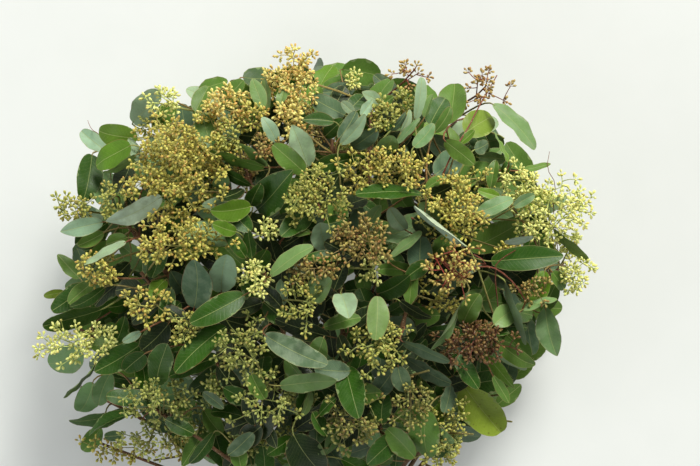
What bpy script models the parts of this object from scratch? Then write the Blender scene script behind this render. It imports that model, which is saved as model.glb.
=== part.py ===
"""Cut bunch of seeded eucalyptus, lying on a surface with its fullest side up.

Twenty cut stems fan out of a narrow neck. Each carries leaves on twigs and side shoots,
and between them stand branched panicles of small gum nuts. One object is one grown
piece: a stem with its shoots, twigs and leaves, or a panicle with its buds. Each is one
closed skin, built ring by ring, in which twigs and buds grow out of small faces of what
carries them. Leaves and panicles are laid out on a board in millimetres, x to the right
and y downwards, seen from above. Millimetres are kept up to the meshes, which are in
metres.
"""

import math
import random

import bpy
from mathutils import Vector
from mathutils.bvhtree import BVHTree

# ------------------------------------------------------------------ driving sizes (mm)
MM = 0.001
BOARD_CENTRE = (314.6, 373.4)
CROWN_CENTRE = (315.0, 262.0)
CROWN_RADIUS_X = 290.0
CROWN_RADIUS_UP = 230.0
CROWN_RADIUS_DOWN = 262.0
CROWN_TOP = 232.0
CROWN_RIM = 78.0
LAYER = 19.0

NECK = (352.0, 556.0)
NECK_PITCH = 6.4
NECK_COLUMNS = 7
CUT_Y = 688.0
CUT_STAGGER = 9.0
CUT_SPREAD = 1.5
BUNDLE_ROW_RISE = 6.4
STEM_RADIUS_CUT = 3.1
STEM_RADIUS_TIP = 1.5
STEM_SIDES = 4
STEM_STEPS = 6
SHOOT_RADIUS = 1.3
SHOOT_LENGTH = 58.0
SHOOT_PLACES = (3, 7)
NODE_LENGTH = 3.2
NODE_PITCH = 17.0
BARE_SHARE = 0.42

BLADE_THICKNESS = 0.8
PETIOLE_HALF = 0.75
SMALL_BLADE = 38.0
LONG_TWIG = 60.0
SHARPEST = -0.25
STRAIGHT = 0.4
FAR = 1e6
CLEARANCE = 0.4
TRIES = 120
HIDDEN_LEAVES = 78
HIDDEN_RIM = 0.9
HIDDEN_BANDS = ((0.84, 0.1, 0.6), (0.62, 0.25, 0.8), (0.36, 0.35, 0.85), (0.86, 0.15, 0.85))
LOAD_STEP = 2.0

BUD_LENGTH = 7.4
BUD_RADIUS = 2.05
BUD_WIDEST = 0.64
BRANCH_RADIUS = 0.8
RACHIS_RADIUS = 1.1
SEAT_GAP = 0.35
UMBEL_TRIES = 60
UMBEL_BUDS = 5
GOLDEN_ANGLE = math.radians(137.508)

# Stem tips on the board, row by row. Height is each row's share of the crown's height.
STEM_ROWS = (
    (0.27, ((72, 392), (96, 262), (160, 142), (286, 92), (446, 98), (560, 205), (548, 338))),
    (0.56, ((84, 446), (62, 322), (108, 205), (222, 104), (372, 98), (488, 112), (568, 262))),
    (0.84, ((128, 392), (142, 272), (222, 168), (332, 140), (440, 178), (500, 322))),
)

# Leaves that lie flat on the surface and carry the crown: blade base, tip, width.
RESTING_LEAVES = (
    (232, 318, 190, 268, 27),
    (392, 330, 440, 286, 26),
    (322, 190, 300, 132, 27),
)

# Leaves of the upper side: blade base x, y, tip x, y, seen width, layer below the crown.
LEAVES = {
    "upper left": (
        (138, 138, 97, 131, 23, 0), (103, 150, 78, 130, 17, 1), (132, 146, 94, 165, 26, 0),
        (136, 155, 105, 172, 9, 0), (90, 154, 84, 200, 26, 1), (108, 172, 98, 205, 22, 2),
        (128, 165, 118, 195, 24, 2), (164, 197, 109, 224, 22, 0), (130, 121, 158, 92, 28, 1),
        (147, 163, 131, 136, 12, 0), (196, 112, 208, 87, 18, 1), (212, 148, 200, 113, 24, 1),
        (266, 168, 211, 147, 14, 0), (269, 166, 241, 143, 11, 0), (252, 186, 216, 166, 14, 1),
        (239, 199, 204, 206, 15, 1), (220, 195, 230, 178, 16, 1), (252, 207, 215, 212, 22, 0),
        (238, 232, 216, 224, 14, 0),
    ),
    "top": (
        (262, 140, 240, 136, 17, 2), (278, 143, 264, 119, 14, 0), (264, 108, 253, 80, 15, 0),
        (268, 110, 264, 79, 12, 1), (248, 105, 241, 93, 12, 2), (280, 107, 285, 87, 11, 0),
        (309, 168, 294, 128, 25, 0), (306, 174, 274, 146, 21, 0), (357, 159, 311, 170, 18, 1),
        (345, 116, 312, 98, 20, 1), (334, 123, 303, 121, 14, 0), (325, 137, 343, 121, 15, 1),
        (339, 140, 356, 113, 14, 0), (341, 145, 366, 116, 15, 0), (352, 148, 378, 130, 18, 1),
        (361, 117, 373, 101, 11, 0), (350, 110, 364, 95, 16, 1), (380, 100, 361, 93, 13, 1),
        (378, 106, 394, 96, 12, 1), (354, 114, 342, 103, 10, 0), (382, 152, 392, 138, 20, 0),
        (376, 158, 390, 153, 10, 0),
    ),
    "upper right": (
        (415, 120, 421, 78, 13, 0), (424, 118, 432, 95, 9, 0), (447, 125, 455, 82, 30, 1),
        (430, 125, 445, 99, 24, 1), (434, 133, 450, 108, 12, 0), (413, 148, 433, 125, 14, 0),
        (395, 145, 418, 118, 10, 0), (400, 134, 410, 111, 8, 0), (390, 132, 406, 113, 8, 0),
        (444, 142, 473, 165, 18, 0), (428, 172, 415, 148, 17, 1), (434, 180, 460, 156, 26, 1),
        (465, 133, 494, 115, 28, 1), (508, 163, 493, 132, 9, 0), (493, 104, 536, 149, 22, 0),
        (460, 144, 474, 131, 9, 0), (474, 150, 488, 143, 14, 1), (476, 213, 511, 198, 16, 0),
        (498, 197, 476, 191, 10, 0), (490, 188, 495, 160, 12, 1), (421, 195, 355, 197, 19, 0),
        (465, 246, 414, 205, 11, 0), (425, 190, 446, 178, 12, 1), (405, 230, 389, 208, 16, 1),
        (368, 228, 380, 206, 13, 1), (437, 225, 420, 203, 16, 1), (543, 212, 568, 196, 13, 1),
        (512, 207, 533, 195, 11, 0), (524, 170, 552, 164, 8, 1), (502, 178, 511, 158, 9, 1),
    ),
    "right": (
        (490, 261, 562, 256, 24, 0), (554, 229, 590, 258, 12, 0), (532, 237, 503, 243, 10, 0),
        (552, 271, 565, 289, 14, 1), (545, 271, 532, 307, 18, 1), (488, 268, 523, 290, 20, 1),
        (504, 282, 527, 343, 12, 0), (496, 320, 517, 305, 22, 0), (522, 309, 556, 299, 10, 0),
        (545, 308, 557, 356, 24, 0), (462, 323, 478, 292, 20, 0), (467, 290, 433, 349, 11, 0),
        (399, 300, 430, 318, 13, 1), (402, 340, 448, 360, 13, 0), (405, 357, 449, 384, 16, 1),
        (497, 340, 534, 366, 17, 0), (495, 349, 527, 368, 12, 1),
    ),
    "lower right": (
        (485, 354, 513, 388, 14, 0), (456, 354, 478, 387, 18, 0), (463, 384, 501, 432, 38, 1),
        (493, 376, 510, 403, 12, 1), (427, 409, 428, 457, 31, 0), (400, 433, 367, 464, 22, 1),
        (345, 365, 358, 414, 28, 0), (374, 395, 394, 367, 20, 1), (262, 425, 242, 444, 22, 1),
        (295, 432, 322, 470, 36, 1), (311, 390, 303, 415, 10, 1),
    ),
    "middle": (
        (377, 295, 375, 338, 22, 0), (372, 300, 407, 277, 24, 1), (418, 272, 377, 268, 16, 2),
        (390, 257, 422, 233, 12, 1), (341, 293, 349, 317, 24, 0), (310, 294, 334, 279, 26, 0),
        (272, 275, 313, 245, 17, 0), (266, 333, 328, 363, 24, 0), (281, 383, 337, 377, 22, 0),
        (330, 335, 276, 318, 22, 1), (196, 307, 199, 257, 30, 0), (223, 291, 230, 255, 27, 0),
        (246, 294, 194, 321, 24, 0), (228, 325, 178, 370, 25, 0), (220, 355, 171, 376, 20, 1),
        (247, 257, 228, 233, 14, 1), (270, 258, 252, 238, 20, 2), (341, 256, 305, 256, 13, 1),
        (326, 250, 320, 221, 24, 1), (252, 206, 262, 186, 17, 1), (258, 210, 292, 172, 34, 1),
        (285, 228, 240, 212, 22, 2), (312, 212, 283, 235, 22, 1), (311, 232, 275, 230, 12, 1),
    ),
    "left": (
        (80, 352, 44, 366, 30, 1), (100, 310, 41, 325, 22, 1), (87, 285, 51, 312, 22, 1),
        (94, 282, 69, 303, 16, 0), (106, 287, 72, 308, 13, 0), (60, 293, 39, 297, 9, 2),
        (80, 279, 58, 255, 15, 1), (128, 242, 87, 266, 14, 0), (104, 222, 61, 232, 18, 0),
        (104, 233, 78, 246, 14, 1), (128, 238, 106, 245, 16, 1), (158, 245, 148, 276, 22, 1),
        (166, 280, 153, 298, 16, 1), (143, 331, 125, 341, 9, 0), (181, 302, 145, 328, 22, 2),
        (140, 345, 95, 372, 24, 1), (146, 353, 125, 370, 20, 1), (108, 375, 95, 408, 20, 2),
        (92, 366, 58, 398, 9, 1), (90, 384, 75, 415, 24, 1),
    ),
    "lower left": (
        (158, 383, 172, 341, 26, 0), (157, 402, 107, 396, 19, 0), (122, 413, 64, 425, 20, 1),
        (137, 414, 87, 437, 15, 0), (95, 432, 76, 457, 18, 1), (119, 438, 100, 440, 11, 1),
        (204, 391, 225, 407, 11, 1), (204, 410, 222, 435, 18, 2), (214, 434, 190, 466, 14, 1),
        (245, 440, 222, 470, 20, 1), (205, 425, 180, 466, 20, 1),
    ),
}

# Panicles: centre x, y, radius across, radius down, layer below the crown, branches.
PANICLES = (
    (297, 82, 17, 30, 0, 3), (185, 166, 42, 42, 0, 7), (162, 104, 14, 19, 0, 3),
    (226, 108, 20, 18, 0, 3), (230, 140, 14, 14, 0, 2), (252, 118, 16, 12, 0, 2),
    (291, 116, 15, 18, 0, 3), (267, 152, 12, 13, 0, 2), (315, 195, 26, 23, 0, 4),
    (385, 116, 12, 17, 0, 3), (412, 72, 14, 14, 0, 2), (485, 86, 18, 16, 0, 3),
    (386, 170, 31, 18, 0, 4), (455, 208, 28, 26, 0, 4), (548, 210, 34, 26, 0, 4),
    (518, 180, 15, 16, 0, 2), (74, 206, 17, 12, 0, 2), (113, 200, 13, 12, 0, 2),
    (180, 241, 37, 18, 0, 5), (100, 268, 17, 17, 0, 3), (150, 305, 20, 17, 0, 3),
    (77, 342, 32, 18, 0, 3), (190, 330, 15, 14, 0, 2), (257, 280, 16, 19, 0, 3),
    (243, 352, 26, 29, 0, 4), (262, 402, 30, 24, 0, 4), (165, 398, 34, 22, 0, 4),
    (150, 440, 30, 18, 0, 3), (98, 454, 25, 11, 0, 2), (378, 342, 25, 19, 0, 3),
    (302, 300, 17, 20, 0, 2), (452, 270, 22, 22, 0, 3), (472, 342, 31, 18, 0, 4),
    (410, 402, 18, 25, 0, 3), (445, 434, 18, 32, 0, 3), (350, 418, 24, 24, 0, 3),
    (360, 240, 23, 20, 0, 3), (533, 290, 17, 14, 0, 2), (575, 276, 14, 16, 0, 2),
    (318, 268, 22, 12, 0, 2),
)


# ------------------------------------------------------------------ board and crown
def board(x, y, z):
    """A point of the board, in millimetres about the bunch's middle."""
    return Vector((x - BOARD_CENTRE[0], BOARD_CENTRE[1] - y, z))


def crown_radius(point):
    """0 at the crown's middle, 1 at its rim."""
    dx = (point.x - CROWN_CENTRE[0] + BOARD_CENTRE[0]) / CROWN_RADIUS_X
    dy = point.y - BOARD_CENTRE[1] + CROWN_CENTRE[1]
    dy = dy / (CROWN_RADIUS_UP if dy > 0 else CROWN_RADIUS_DOWN)
    return math.hypot(dx, dy)


def crown_height(point):
    """Height of the crown's upper side over a point."""
    dome = math.sqrt(max(0.0, 1.0 - crown_radius(point) ** 2))
    return CROWN_RIM + (CROWN_TOP - CROWN_RIM) * dome


def smooth(low, high, value):
    """A smooth step from 0 at low to 1 at high."""
    share = min(1.0, max(0.0, (value - low) / (high - low)))
    return share * share * (3.0 - 2.0 * share)


def axes_across(ahead):
    """Level and raised unit vectors square to a direction."""
    level = ahead.cross(Vector((0.0, 0.0, 1.0)))
    if level.length < 0.05 * ahead.length:
        level = Vector((1.0, 0.0, 0.0))
    level.normalize()
    return level, level.cross(ahead).normalized()


# ------------------------------------------------------------------ solids by rings
class Growth:
    """A closed skin of triangles, built ring by ring. Rings run anticlockwise."""

    def __init__(self):
        self.verts = []
        self.faces = []

    def add(self, points):
        start = len(self.verts)
        self.verts += points
        return list(range(start, len(self.verts)))

    def ring(self, centre, ahead, radius, sides):
        """A round ring square to a direction."""
        level, raised = axes_across(ahead)
        points = []
        for k in range(sides):
            angle = -math.tau * k / sides
            points.append(centre + (level * math.cos(angle) + raised * math.sin(angle)) * radius)
        return self.add(points)

    def corners(self, centre, across, thick):
        """A four-cornered ring of a blade or twig, kept above the surface."""
        upside_down = thick.z < 0
        points = []
        for side, rise in ((across, -thick), (-across, -thick), (-across, thick), (across, thick)):
            point = centre + side + rise
            raised = (rise is thick) != upside_down
            point.z = max(point.z, BLADE_THICKNESS if raised else 0.0)
            points.append(point)
        return self.add(points)

    def loft(self, before, after, skipped=()):
        """Side faces from ring to ring. A blade's two faces are split alike."""
        count = len(before)
        for k in range(count):
            if k in skipped:
                continue
            p, q = before[k], before[(k + 1) % count]
            r, s = after[(k + 1) % count], after[k]
            if count == 4 and k == 2:
                self.faces += [(p, q, s), (q, r, s)]
            else:
                self.faces += [(p, q, r), (p, r, s)]

    def matched(self, before, after):
        """The ring after, turned so that it starts opposite the ring before."""
        centre_before = self.middle(before)
        centre_after = self.middle(after)

        def mismatch(shift):
            total = 0.0
            for k, index in enumerate(before):
                arm = (self.verts[index] - centre_before).normalized()
                other = self.verts[after[(k + shift) % len(after)]] - centre_after
                total -= arm.dot(other.normalized())
            return total

        shift = min(range(len(after)), key=mismatch)
        return after[shift:] + after[:shift]

    def middle(self, ring):
        return sum((self.verts[i] for i in ring), Vector()) / len(ring)

    def normal(self, ring):
        a, b, c = (self.verts[i] for i in ring[:3])
        return (b - a).cross(c - a).normalized()

    def close(self, ring):
        for k in range(1, len(ring) - 1):
            self.faces.append((ring[0], ring[k], ring[k + 1]))

    def point(self, ring, tip):
        """Ends a ring in a point."""
        apex = self.add([tip])[0]
        for k in range(len(ring)):
            self.faces.append((ring[k], ring[(k + 1) % len(ring)], apex))

    def edge(self, ring, centre, thick):
        """Ends a four-cornered ring in an upright edge as high as the blade is thick."""
        corners = self.corners(centre, Vector(), thick)
        low, high = corners[0], corners[3]
        a, b, c, d = ring
        self.faces += [(a, b, low), (b, c, high), (b, high, low)]
        self.faces += [(c, d, high), (d, a, low), (d, low, high)]

    def blade(self, root, rings):
        """Grows a twig and blade out of a four-cornered face."""
        last = root
        for index, (centre, across, thick) in enumerate(rings[:-1]):
            ring = self.corners(centre, across, thick)
            if index == 0:
                shifted = self.matched(last, ring)
                turned = ring.index(shifted[0])
                last = last[-turned:] + last[:-turned] if turned else last
            self.loft(last, ring)
            last = ring
        self.edge(last, rings[-1][0], rings[-1][2])

    def trimmed(self):
        """Vertices and faces without the vertices that no face uses."""
        used = sorted({i for face in self.faces for i in face})
        place = {old: new for new, old in enumerate(used)}
        faces = [tuple(place[i] for i in face) for face in self.faces]
        return [self.verts[i] for i in used], faces


def tube_solid(points, radii, sides):
    """Vertices and faces of a closed tube along points."""
    growth = Growth()
    last = None
    for i, point in enumerate(points):
        ahead = points[min(i + 1, len(points) - 1)] - points[max(i - 1, 0)]
        ring = growth.ring(point, ahead, radii[i], sides)
        if last:
            growth.loft(last, growth.matched(last, ring))
            ring = growth.matched(last, ring)
        else:
            growth.close(ring[::-1])
        last = ring
    growth.close(last)
    return growth.verts, growth.faces


def spindle_solid(root, tip, radius):
    """A three-sided bud: a thin foot, its widest ring and a point."""
    growth = Growth()
    ring = growth.ring(root.lerp(tip, BUD_WIDEST), tip - root, radius, 3)
    growth.point(ring[::-1], root)
    growth.point(ring, tip)
    return growth.verts, growth.faces


def strip_solid(rings):
    """A closed strip of four-cornered rings that ends in an upright edge."""
    growth = Growth()
    first = growth.corners(*rings[0])
    growth.close(first[::-1])
    growth.blade(first, rings[1:])
    return growth.trimmed()


# ------------------------------------------------------------------ clearance
def crosses_itself(verts, faces):
    """Whether two triangles of a skin that share no corner meet."""
    tree = BVHTree.FromPolygons(verts, faces)
    for i, j in tree.overlap(tree):
        if i < j and not set(faces[i]) & set(faces[j]):
            return True
    return False


class Space:
    """The solids placed so far, for testing whether a new one is clear of them."""

    def __init__(self):
        self.solids = []

    @staticmethod
    def shape(verts, faces):
        """A solid as a tree of triangles, with its lowest and highest corners."""
        low = [min(v[i] for v in verts) for i in range(3)]
        high = [max(v[i] for v in verts) for i in range(3)]
        return BVHTree.FromPolygons(verts, faces), low, high

    def add(self, name, verts, faces):
        self.solids.append((name, *self.shape(verts, faces)))

    def clear(self, verts, faces, skipped=None):
        """Whether a solid meets none of the others, but for those whose name starts so."""
        tree, low, high = self.shape(verts, faces)
        for name, other, other_low, other_high in self.solids:
            if skipped and name.startswith(skipped):
                continue
            if any(low[i] > other_high[i] or high[i] < other_low[i] for i in range(3)):
                continue
            if tree.overlap(other):
                return False
        return True


# ------------------------------------------------------------------ stems and shoots
class Host:
    """A small face on the side of an axis, or on its end, from which something grows."""

    def __init__(self, axis, along, side):
        self.axis = axis
        self.along = along
        self.side = side
        point, self.ahead, radius = axis.at(along)
        if side is None:
            self.centre = point
            self.normal = self.ahead
            return
        level, raised = axes_across(self.ahead)
        angle = -math.tau * (side + 0.5) / axis.sides
        self.normal = level * math.cos(angle) + raised * math.sin(angle)
        self.centre = point + self.normal * radius * math.cos(math.pi / axis.sides)

    def corners(self):
        """The face's four corners, as the axis's own rings give them."""
        growth = Growth()
        sides = self.axis.sides
        if self.side is None:
            centre, ahead, radius = self.axis.at(self.along)
            growth.ring(centre, ahead, radius, sides)
            return growth.verts
        for end in (-0.5, 0.5):
            centre, ahead, radius = self.axis.at(self.along + end * NODE_LENGTH)
            growth.ring(centre, ahead, radius, sides)
        k, after = self.side, (self.side + 1) % self.axis.sides
        return [growth.verts[i] for i in (k, after, sides + after, sides + k)]


class Axis:
    """A stem or side shoot: its centre line, its radii and the faces that may carry more."""

    def __init__(self, sprig, name, points, radii, sides, root=None):
        self.sprig = sprig
        self.name = name
        self.points = points
        self.radii = radii
        self.sides = sides
        self.root = root
        self.runs = [0.0]
        for a, b in zip(points, points[1:]):
            self.runs.append(self.runs[-1] + (b - a).length)

    def at(self, along):
        """Centre, direction and radius at a distance along the axis."""
        i = 0
        while i < len(self.points) - 2 and self.runs[i + 1] < along:
            i += 1
        step = self.points[i + 1] - self.points[i]
        t = (along - self.runs[i]) / (self.runs[i + 1] - self.runs[i])
        radius = self.radii[i] + (self.radii[i + 1] - self.radii[i]) * t
        return self.points[i] + step * t, step.normalized(), radius

    def hosts(self, start, pitch):
        """Faces for twigs and shoots, in nodes clear of the axis's bends."""
        found = []
        along = start
        while along < self.runs[-1] - NODE_LENGTH:
            bend = min(abs(along - run) for run in self.runs)
            if bend < NODE_LENGTH:
                along += NODE_LENGTH
                continue
            found += [Host(self, along, side) for side in range(self.sides)]
            along += pitch
        if self.root:
            found.append(Host(self, self.runs[-1], None))
        return found

    def solid(self):
        return tube_solid(self.points, self.radii, self.sides)

    def grow(self, growth, used, faces):
        """Adds the axis's skin, with an open face for each used host."""
        stops = []
        for i, run in enumerate(self.runs):
            ahead = self.points[min(i + 1, len(self.points) - 1)] - self.points[max(i - 1, 0)]
            stops.append((run, self.points[i], ahead, self.radii[i], False))
        for along in sorted({h.along for h in used if h.axis is self and h.side is not None}):
            for end in (-0.5, 0.5):
                place = along + end * NODE_LENGTH
                centre, ahead, radius = self.at(place)
                stops.append((place, centre, ahead, radius, end > 0))
        stops.sort(key=lambda stop: stop[0])
        taken = {(h.along, h.side): h for h in used if h.axis is self}
        if self.root:
            last = faces[self.root]
            stops = stops[1:]
        else:
            last = growth.ring(*stops[0][1:4], self.sides)
            growth.close(last[::-1])
            stops = stops[1:]
        for place, centre, ahead, radius, closes_node in stops:
            ring = growth.ring(centre, ahead, radius, self.sides)
            if self.root and last is faces[self.root]:
                start = ring.index(growth.matched(last, ring)[0])
                last = last[-start:] + last[:-start] if start else last
            skipped = []
            if closes_node:
                along = place - NODE_LENGTH / 2
                for side in range(self.sides):
                    host = next((h for key, h in taken.items()
                                 if abs(key[0] - along) < 0.01 and key[1] == side), None)
                    if host:
                        skipped.append(side)
                        after = (side + 1) % self.sides
                        faces[host] = [last[side], last[after], ring[after], ring[side]]
            growth.loft(last, ring, skipped)
            last = ring
        end = taken.get((self.runs[-1], None))
        if end:
            faces[end] = last
        else:
            growth.close(last)


def stem_axis(number, row, place, share, tip):
    """The centre line of one cut stem, from its cut end to its tip."""
    offset = place - NECK_COLUMNS // 2
    low = STEM_RADIUS_CUT + row * BUNDLE_ROW_RISE
    stagger = CUT_STAGGER * ((place * 5 + row * 3) % 4)
    cut = board(NECK[0] + offset * NECK_PITCH * CUT_SPREAD, CUT_Y - stagger, low)
    neck = board(NECK[0] + offset * NECK_PITCH, NECK[1], low)
    end = board(*tip, 0.0)
    points = [cut]
    guide = neck.lerp(end, 0.34)
    guide.x = neck.x + (end.x - neck.x) * 0.16
    for i in range(STEM_STEPS + 1):
        t = i / STEM_STEPS
        point = neck * (1 - t) ** 2 + guide * 2 * t * (1 - t) + end * t * t
        rise = smooth(0.0, 0.55, t)
        point.z = low * (1 - rise) + max(low, share * crown_height(point)) * rise
        points.append(point)
    last = len(points) - 1
    radii = []
    for i in range(len(points)):
        radii.append(STEM_RADIUS_CUT + (STEM_RADIUS_TIP - STEM_RADIUS_CUT) * (i / last) ** 1.3)
    name = f"sprig_{number:02d}"
    return Axis(name, name + "_stem", points, radii, STEM_SIDES)


def all_stems():
    stems = []
    for row, (share, tips) in enumerate(STEM_ROWS):
        for place, tip in enumerate(tips):
            stems.append(stem_axis(len(stems) + 1, row, place, share, tip))
    return stems


def shoot_axis(host, rng):
    """A side shoot that leaves its stem on the upper side and bends along it."""
    out = (host.normal + host.ahead * rng.uniform(0.5, 1.0)).normalized()
    start = host.centre
    length = SHOOT_LENGTH * rng.uniform(0.75, 1.15)
    knee = start + (host.normal + out).normalized() * 9.0
    end = knee + out * (length - 9.0)
    end.z = max(8.0, end.z)
    end.z += 0.35 * (0.9 * crown_height(end) - end.z)
    stem = host.axis
    radii = [SHOOT_RADIUS * 1.1, SHOOT_RADIUS, SHOOT_RADIUS * 0.8]
    name = f"{stem.name}_shoot_{host.along:.0f}_{host.side}"
    return Axis(stem.sprig, name, [start, knee, end], radii, 4, host)


def place_shoots(space, stem, hosts, seed):
    """Side shoots on the upper half of a stem, to alternate sides where they are clear."""
    rng = random.Random(seed)
    places = sorted({host.along for host in hosts})
    shoots = []
    for turn, place in enumerate(SHOOT_PLACES):
        if place >= len(places):
            continue
        options = [h for h in hosts if h.along == places[place] and h.normal.z > -0.2]
        rng.shuffle(options)
        for host in options * 6:
            shoot = shoot_axis(host, rng)
            bare = [shoot.points[0] + host.normal * 2.2] + shoot.points[1:]
            if not space.clear(*tube_solid(bare, [SHOOT_RADIUS + CLEARANCE + 0.3] * 3, 4)):
                continue
            if not space.clear(*shoot.solid(), skipped=stem.name):
                continue
            space.add(shoot.name, *shoot.solid())
            shoots.append(shoot)
            hosts.remove(host)
            break
    return shoots


# ------------------------------------------------------------------ leaves
class Leaf:
    """A blade from base to tip, and the twig that joins it to its stem."""

    def __init__(self, base, tip, width, rng):
        self.base = base
        self.tip = tip
        self.width = width
        self.length = (tip - base).length
        self.ahead = (tip - base).normalized()
        self.level = axes_across(self.ahead)[0]
        self.roll = 0.0
        self.bow = rng.uniform(-0.03, 0.07)
        self.sickle = rng.uniform(-0.05, 0.05)
        self.twist = rng.uniform(-0.35, 0.35)
        self.fullness = rng.uniform(0.62, 0.85)
        self.stops = (0.3, 0.68) if self.length > SMALL_BLADE else (0.46,)

    def frame(self, t):
        """Unit vectors across the blade and out of its upper face, at t along it."""
        angle = self.roll + self.twist * (t - 0.4)
        raised = self.level.cross(self.ahead)
        across = self.level * math.cos(angle) + raised * math.sin(angle)
        return across, across.cross(self.ahead)

    def spine(self, t):
        """A point on the midrib, t from 0 at the base to 1 at the tip."""
        across, face = self.frame(0.4)
        arch = 4 * t * (1 - t) * self.length
        return self.base.lerp(self.tip, t) + face * self.bow * arch + across * self.sickle * arch

    def half_width(self, t):
        """Half the blade's width at t."""
        return 0.5 * self.width * max(0.0, math.sin(math.pi * t ** 0.88)) ** self.fullness

    def join(self, host):
        self.host = host
        self.root = host.centre
        self.reach = (self.base - self.root).length
        self.bend = self.ahead.dot((self.base - self.root) / self.reach)

    def twig(self, u):
        """A point on the twig, u from 0 at its host to 1 at the blade's base."""
        out = (self.host.normal * 0.8 + self.host.ahead * 0.3) * self.reach * 0.35
        back = (self.spine(0.08) - self.base).normalized() * min(12.0, self.reach * 0.35)
        v = 1 - u
        bend = (self.root + out) * 3 * u * v * v + (self.base - back) * 3 * u * u * v
        return self.root * v ** 3 + bend + self.base * u ** 3

    def twig_rings(self, extra=0.0):
        """Rings of the twig from just off its host to the blade's base."""
        across, face = self.frame(0.0)
        rings = [(self.base, across * (PETIOLE_HALF + extra), face * (BLADE_THICKNESS / 2 + extra))]
        if self.reach > LONG_TWIG or self.bend < STRAIGHT:
            step = (self.twig(0.6) - self.twig(0.4)).normalized()
            across = (across - step * across.dot(step)).normalized()
            half = PETIOLE_HALF + extra
            rings.insert(0, (self.twig(0.5), across * half, across.cross(step) * half))
        return rings

    def foot_ring(self, extra):
        """A ring just off the host, from which the twig's own clearance is tested."""
        share = min(0.3, 2.3 / self.reach)
        step = (self.twig(share + 0.05) - self.twig(share)).normalized()
        across = self.twig_rings()[0][1].normalized()
        across = (across - step * across.dot(step)).normalized()
        half = PETIOLE_HALF + extra
        return self.twig(share), across * half, across.cross(step) * half

    def blade_rings(self, extra=0.0):
        """Rings of the blade past its base, the last one at its tip."""
        thick = BLADE_THICKNESS / 2 + extra
        rings = []
        for t in self.stops:
            across, face = self.frame(t)
            rings.append((self.spine(t), across * (self.half_width(t) * 1.05 + extra), face * thick))
        rings.append((self.tip, Vector(), self.frame(1.0)[1] * thick))
        return rings

    def strip(self):
        """The leaf as one closed solid from its host's corners."""
        growth = Growth()
        root = growth.add(self.host.corners())
        growth.close(root[::-1])
        growth.blade(root, self.twig_rings() + self.blade_rings())
        return growth.trimmed()

    def solids(self, extra=0.0):
        """The twig and the blade as two closed solids, for testing."""
        twig = [self.foot_ring(extra)] + self.twig_rings(extra)
        return strip_solid(twig), strip_solid([twig[-1]] + self.blade_rings(extra))


def tilted(spec, rng, attempt):
    """Blade base and tip in space, real width and roll, from a leaf as seen from above."""
    x0, y0, x1, y1, seen, layer = spec
    loose = attempt / TRIES
    shift = Vector((rng.uniform(-1, 1), rng.uniform(-1, 1), 0.0)) * 9.0 * loose
    shrink = 1.0 - 0.35 * max(0.0, loose - 0.5)
    base = board(x0, y0, 0.0) + shift
    tip = board(x1, y1, 0.0) + shift
    tip = base.lerp(tip, shrink)
    middle = (base + tip) / 2
    flat = (tip - base).length
    full = min(max(flat, seen * shrink / 0.5), flat * 1.45)
    rise = math.sqrt(max(0.0, full * full - flat * flat))
    rise += flat * math.tan(rng.uniform(0.0, 0.22) + 0.5 * loose * rng.uniform(-1, 1))
    outward = (middle - board(*CROWN_CENTRE, 0.0)).normalized().dot((tip - base).normalized())
    if outward > 0.1 and crown_radius(middle) > 0.62:
        rise = -0.6 * rise
    height = crown_height(middle) - layer * LAYER - rng.uniform(0.0, 5.0)
    height += 26.0 * loose * rng.uniform(-1.0, 0.35)
    base.z = max(3.0, height - rise / 2)
    tip.z = max(3.0, height + rise / 2)
    real = max(seen, min(0.4 * full, 24.0)) * shrink
    roll = math.acos(min(1.0, seen * shrink / real))
    roll += rng.uniform(0.1, 0.4) + 0.5 * loose * rng.uniform(-1, 1)
    roll *= rng.choice((-1, 1))
    return base, tip, real, roll


def best_hosts(hosts, point, ahead, load, count):
    """The free faces that best carry something at a point, the best first."""

    def cost(host):
        gap = point - host.centre
        reach = gap.length
        facing = gap.dot(host.normal) / reach
        bend = gap.dot(ahead) / reach
        if reach < 6.0 or facing < 0.25:
            return FAR
        if ahead.length and (bend < SHARPEST or (reach < 16.0 and bend < STRAIGHT)):
            return FAR
        price = reach * (1.4 - 0.2 * facing - 0.2 * bend) + load[host.axis.sprig]
        return price - 0.5 * min(0.0, gap.z)

    return [host for host in sorted(hosts, key=cost)[:count] if cost(host) < FAR]


def place_leaf(space, hosts, load, seed, make):
    """The first try of a leaf that is clear of everything placed so far, or None."""
    rng = random.Random(seed)
    for attempt in range(TRIES):
        leaf = make(rng, attempt)
        options = best_hosts(hosts, leaf.base, leaf.ahead, load, 3 + attempt // 8)
        if not options:
            continue
        leaf.join(options[attempt % len(options)])
        twig, blade = leaf.solids(CLEARANCE)
        if not (space.clear(*blade) and space.clear(*twig)):
            continue
        strip = leaf.strip()
        if crosses_itself(*strip) or not space.clear(*strip, skipped=leaf.host.axis.name):
            continue
        space.add(f"leaf_{seed}", *strip)
        hosts.remove(leaf.host)
        load[leaf.host.axis.sprig] += LOAD_STEP
        return leaf
    return None


def seen_leaf(spec):
    """A maker of tries for a leaf of the upper side."""

    def make(rng, attempt):
        base, tip, width, roll = tilted(spec, rng, attempt)
        leaf = Leaf(base, tip, width, rng)
        leaf.roll = roll
        return leaf

    return make


def resting_leaf(spec):
    """A maker of a flat leaf on the surface."""
    x0, y0, x1, y1, width = spec

    def make(rng, attempt):
        half = BLADE_THICKNESS / 2
        leaf = Leaf(board(x0, y0, half), board(x1, y1, half), width, rng)
        leaf.bow = 0.0
        leaf.twist = 0.0
        return leaf

    return make


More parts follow.
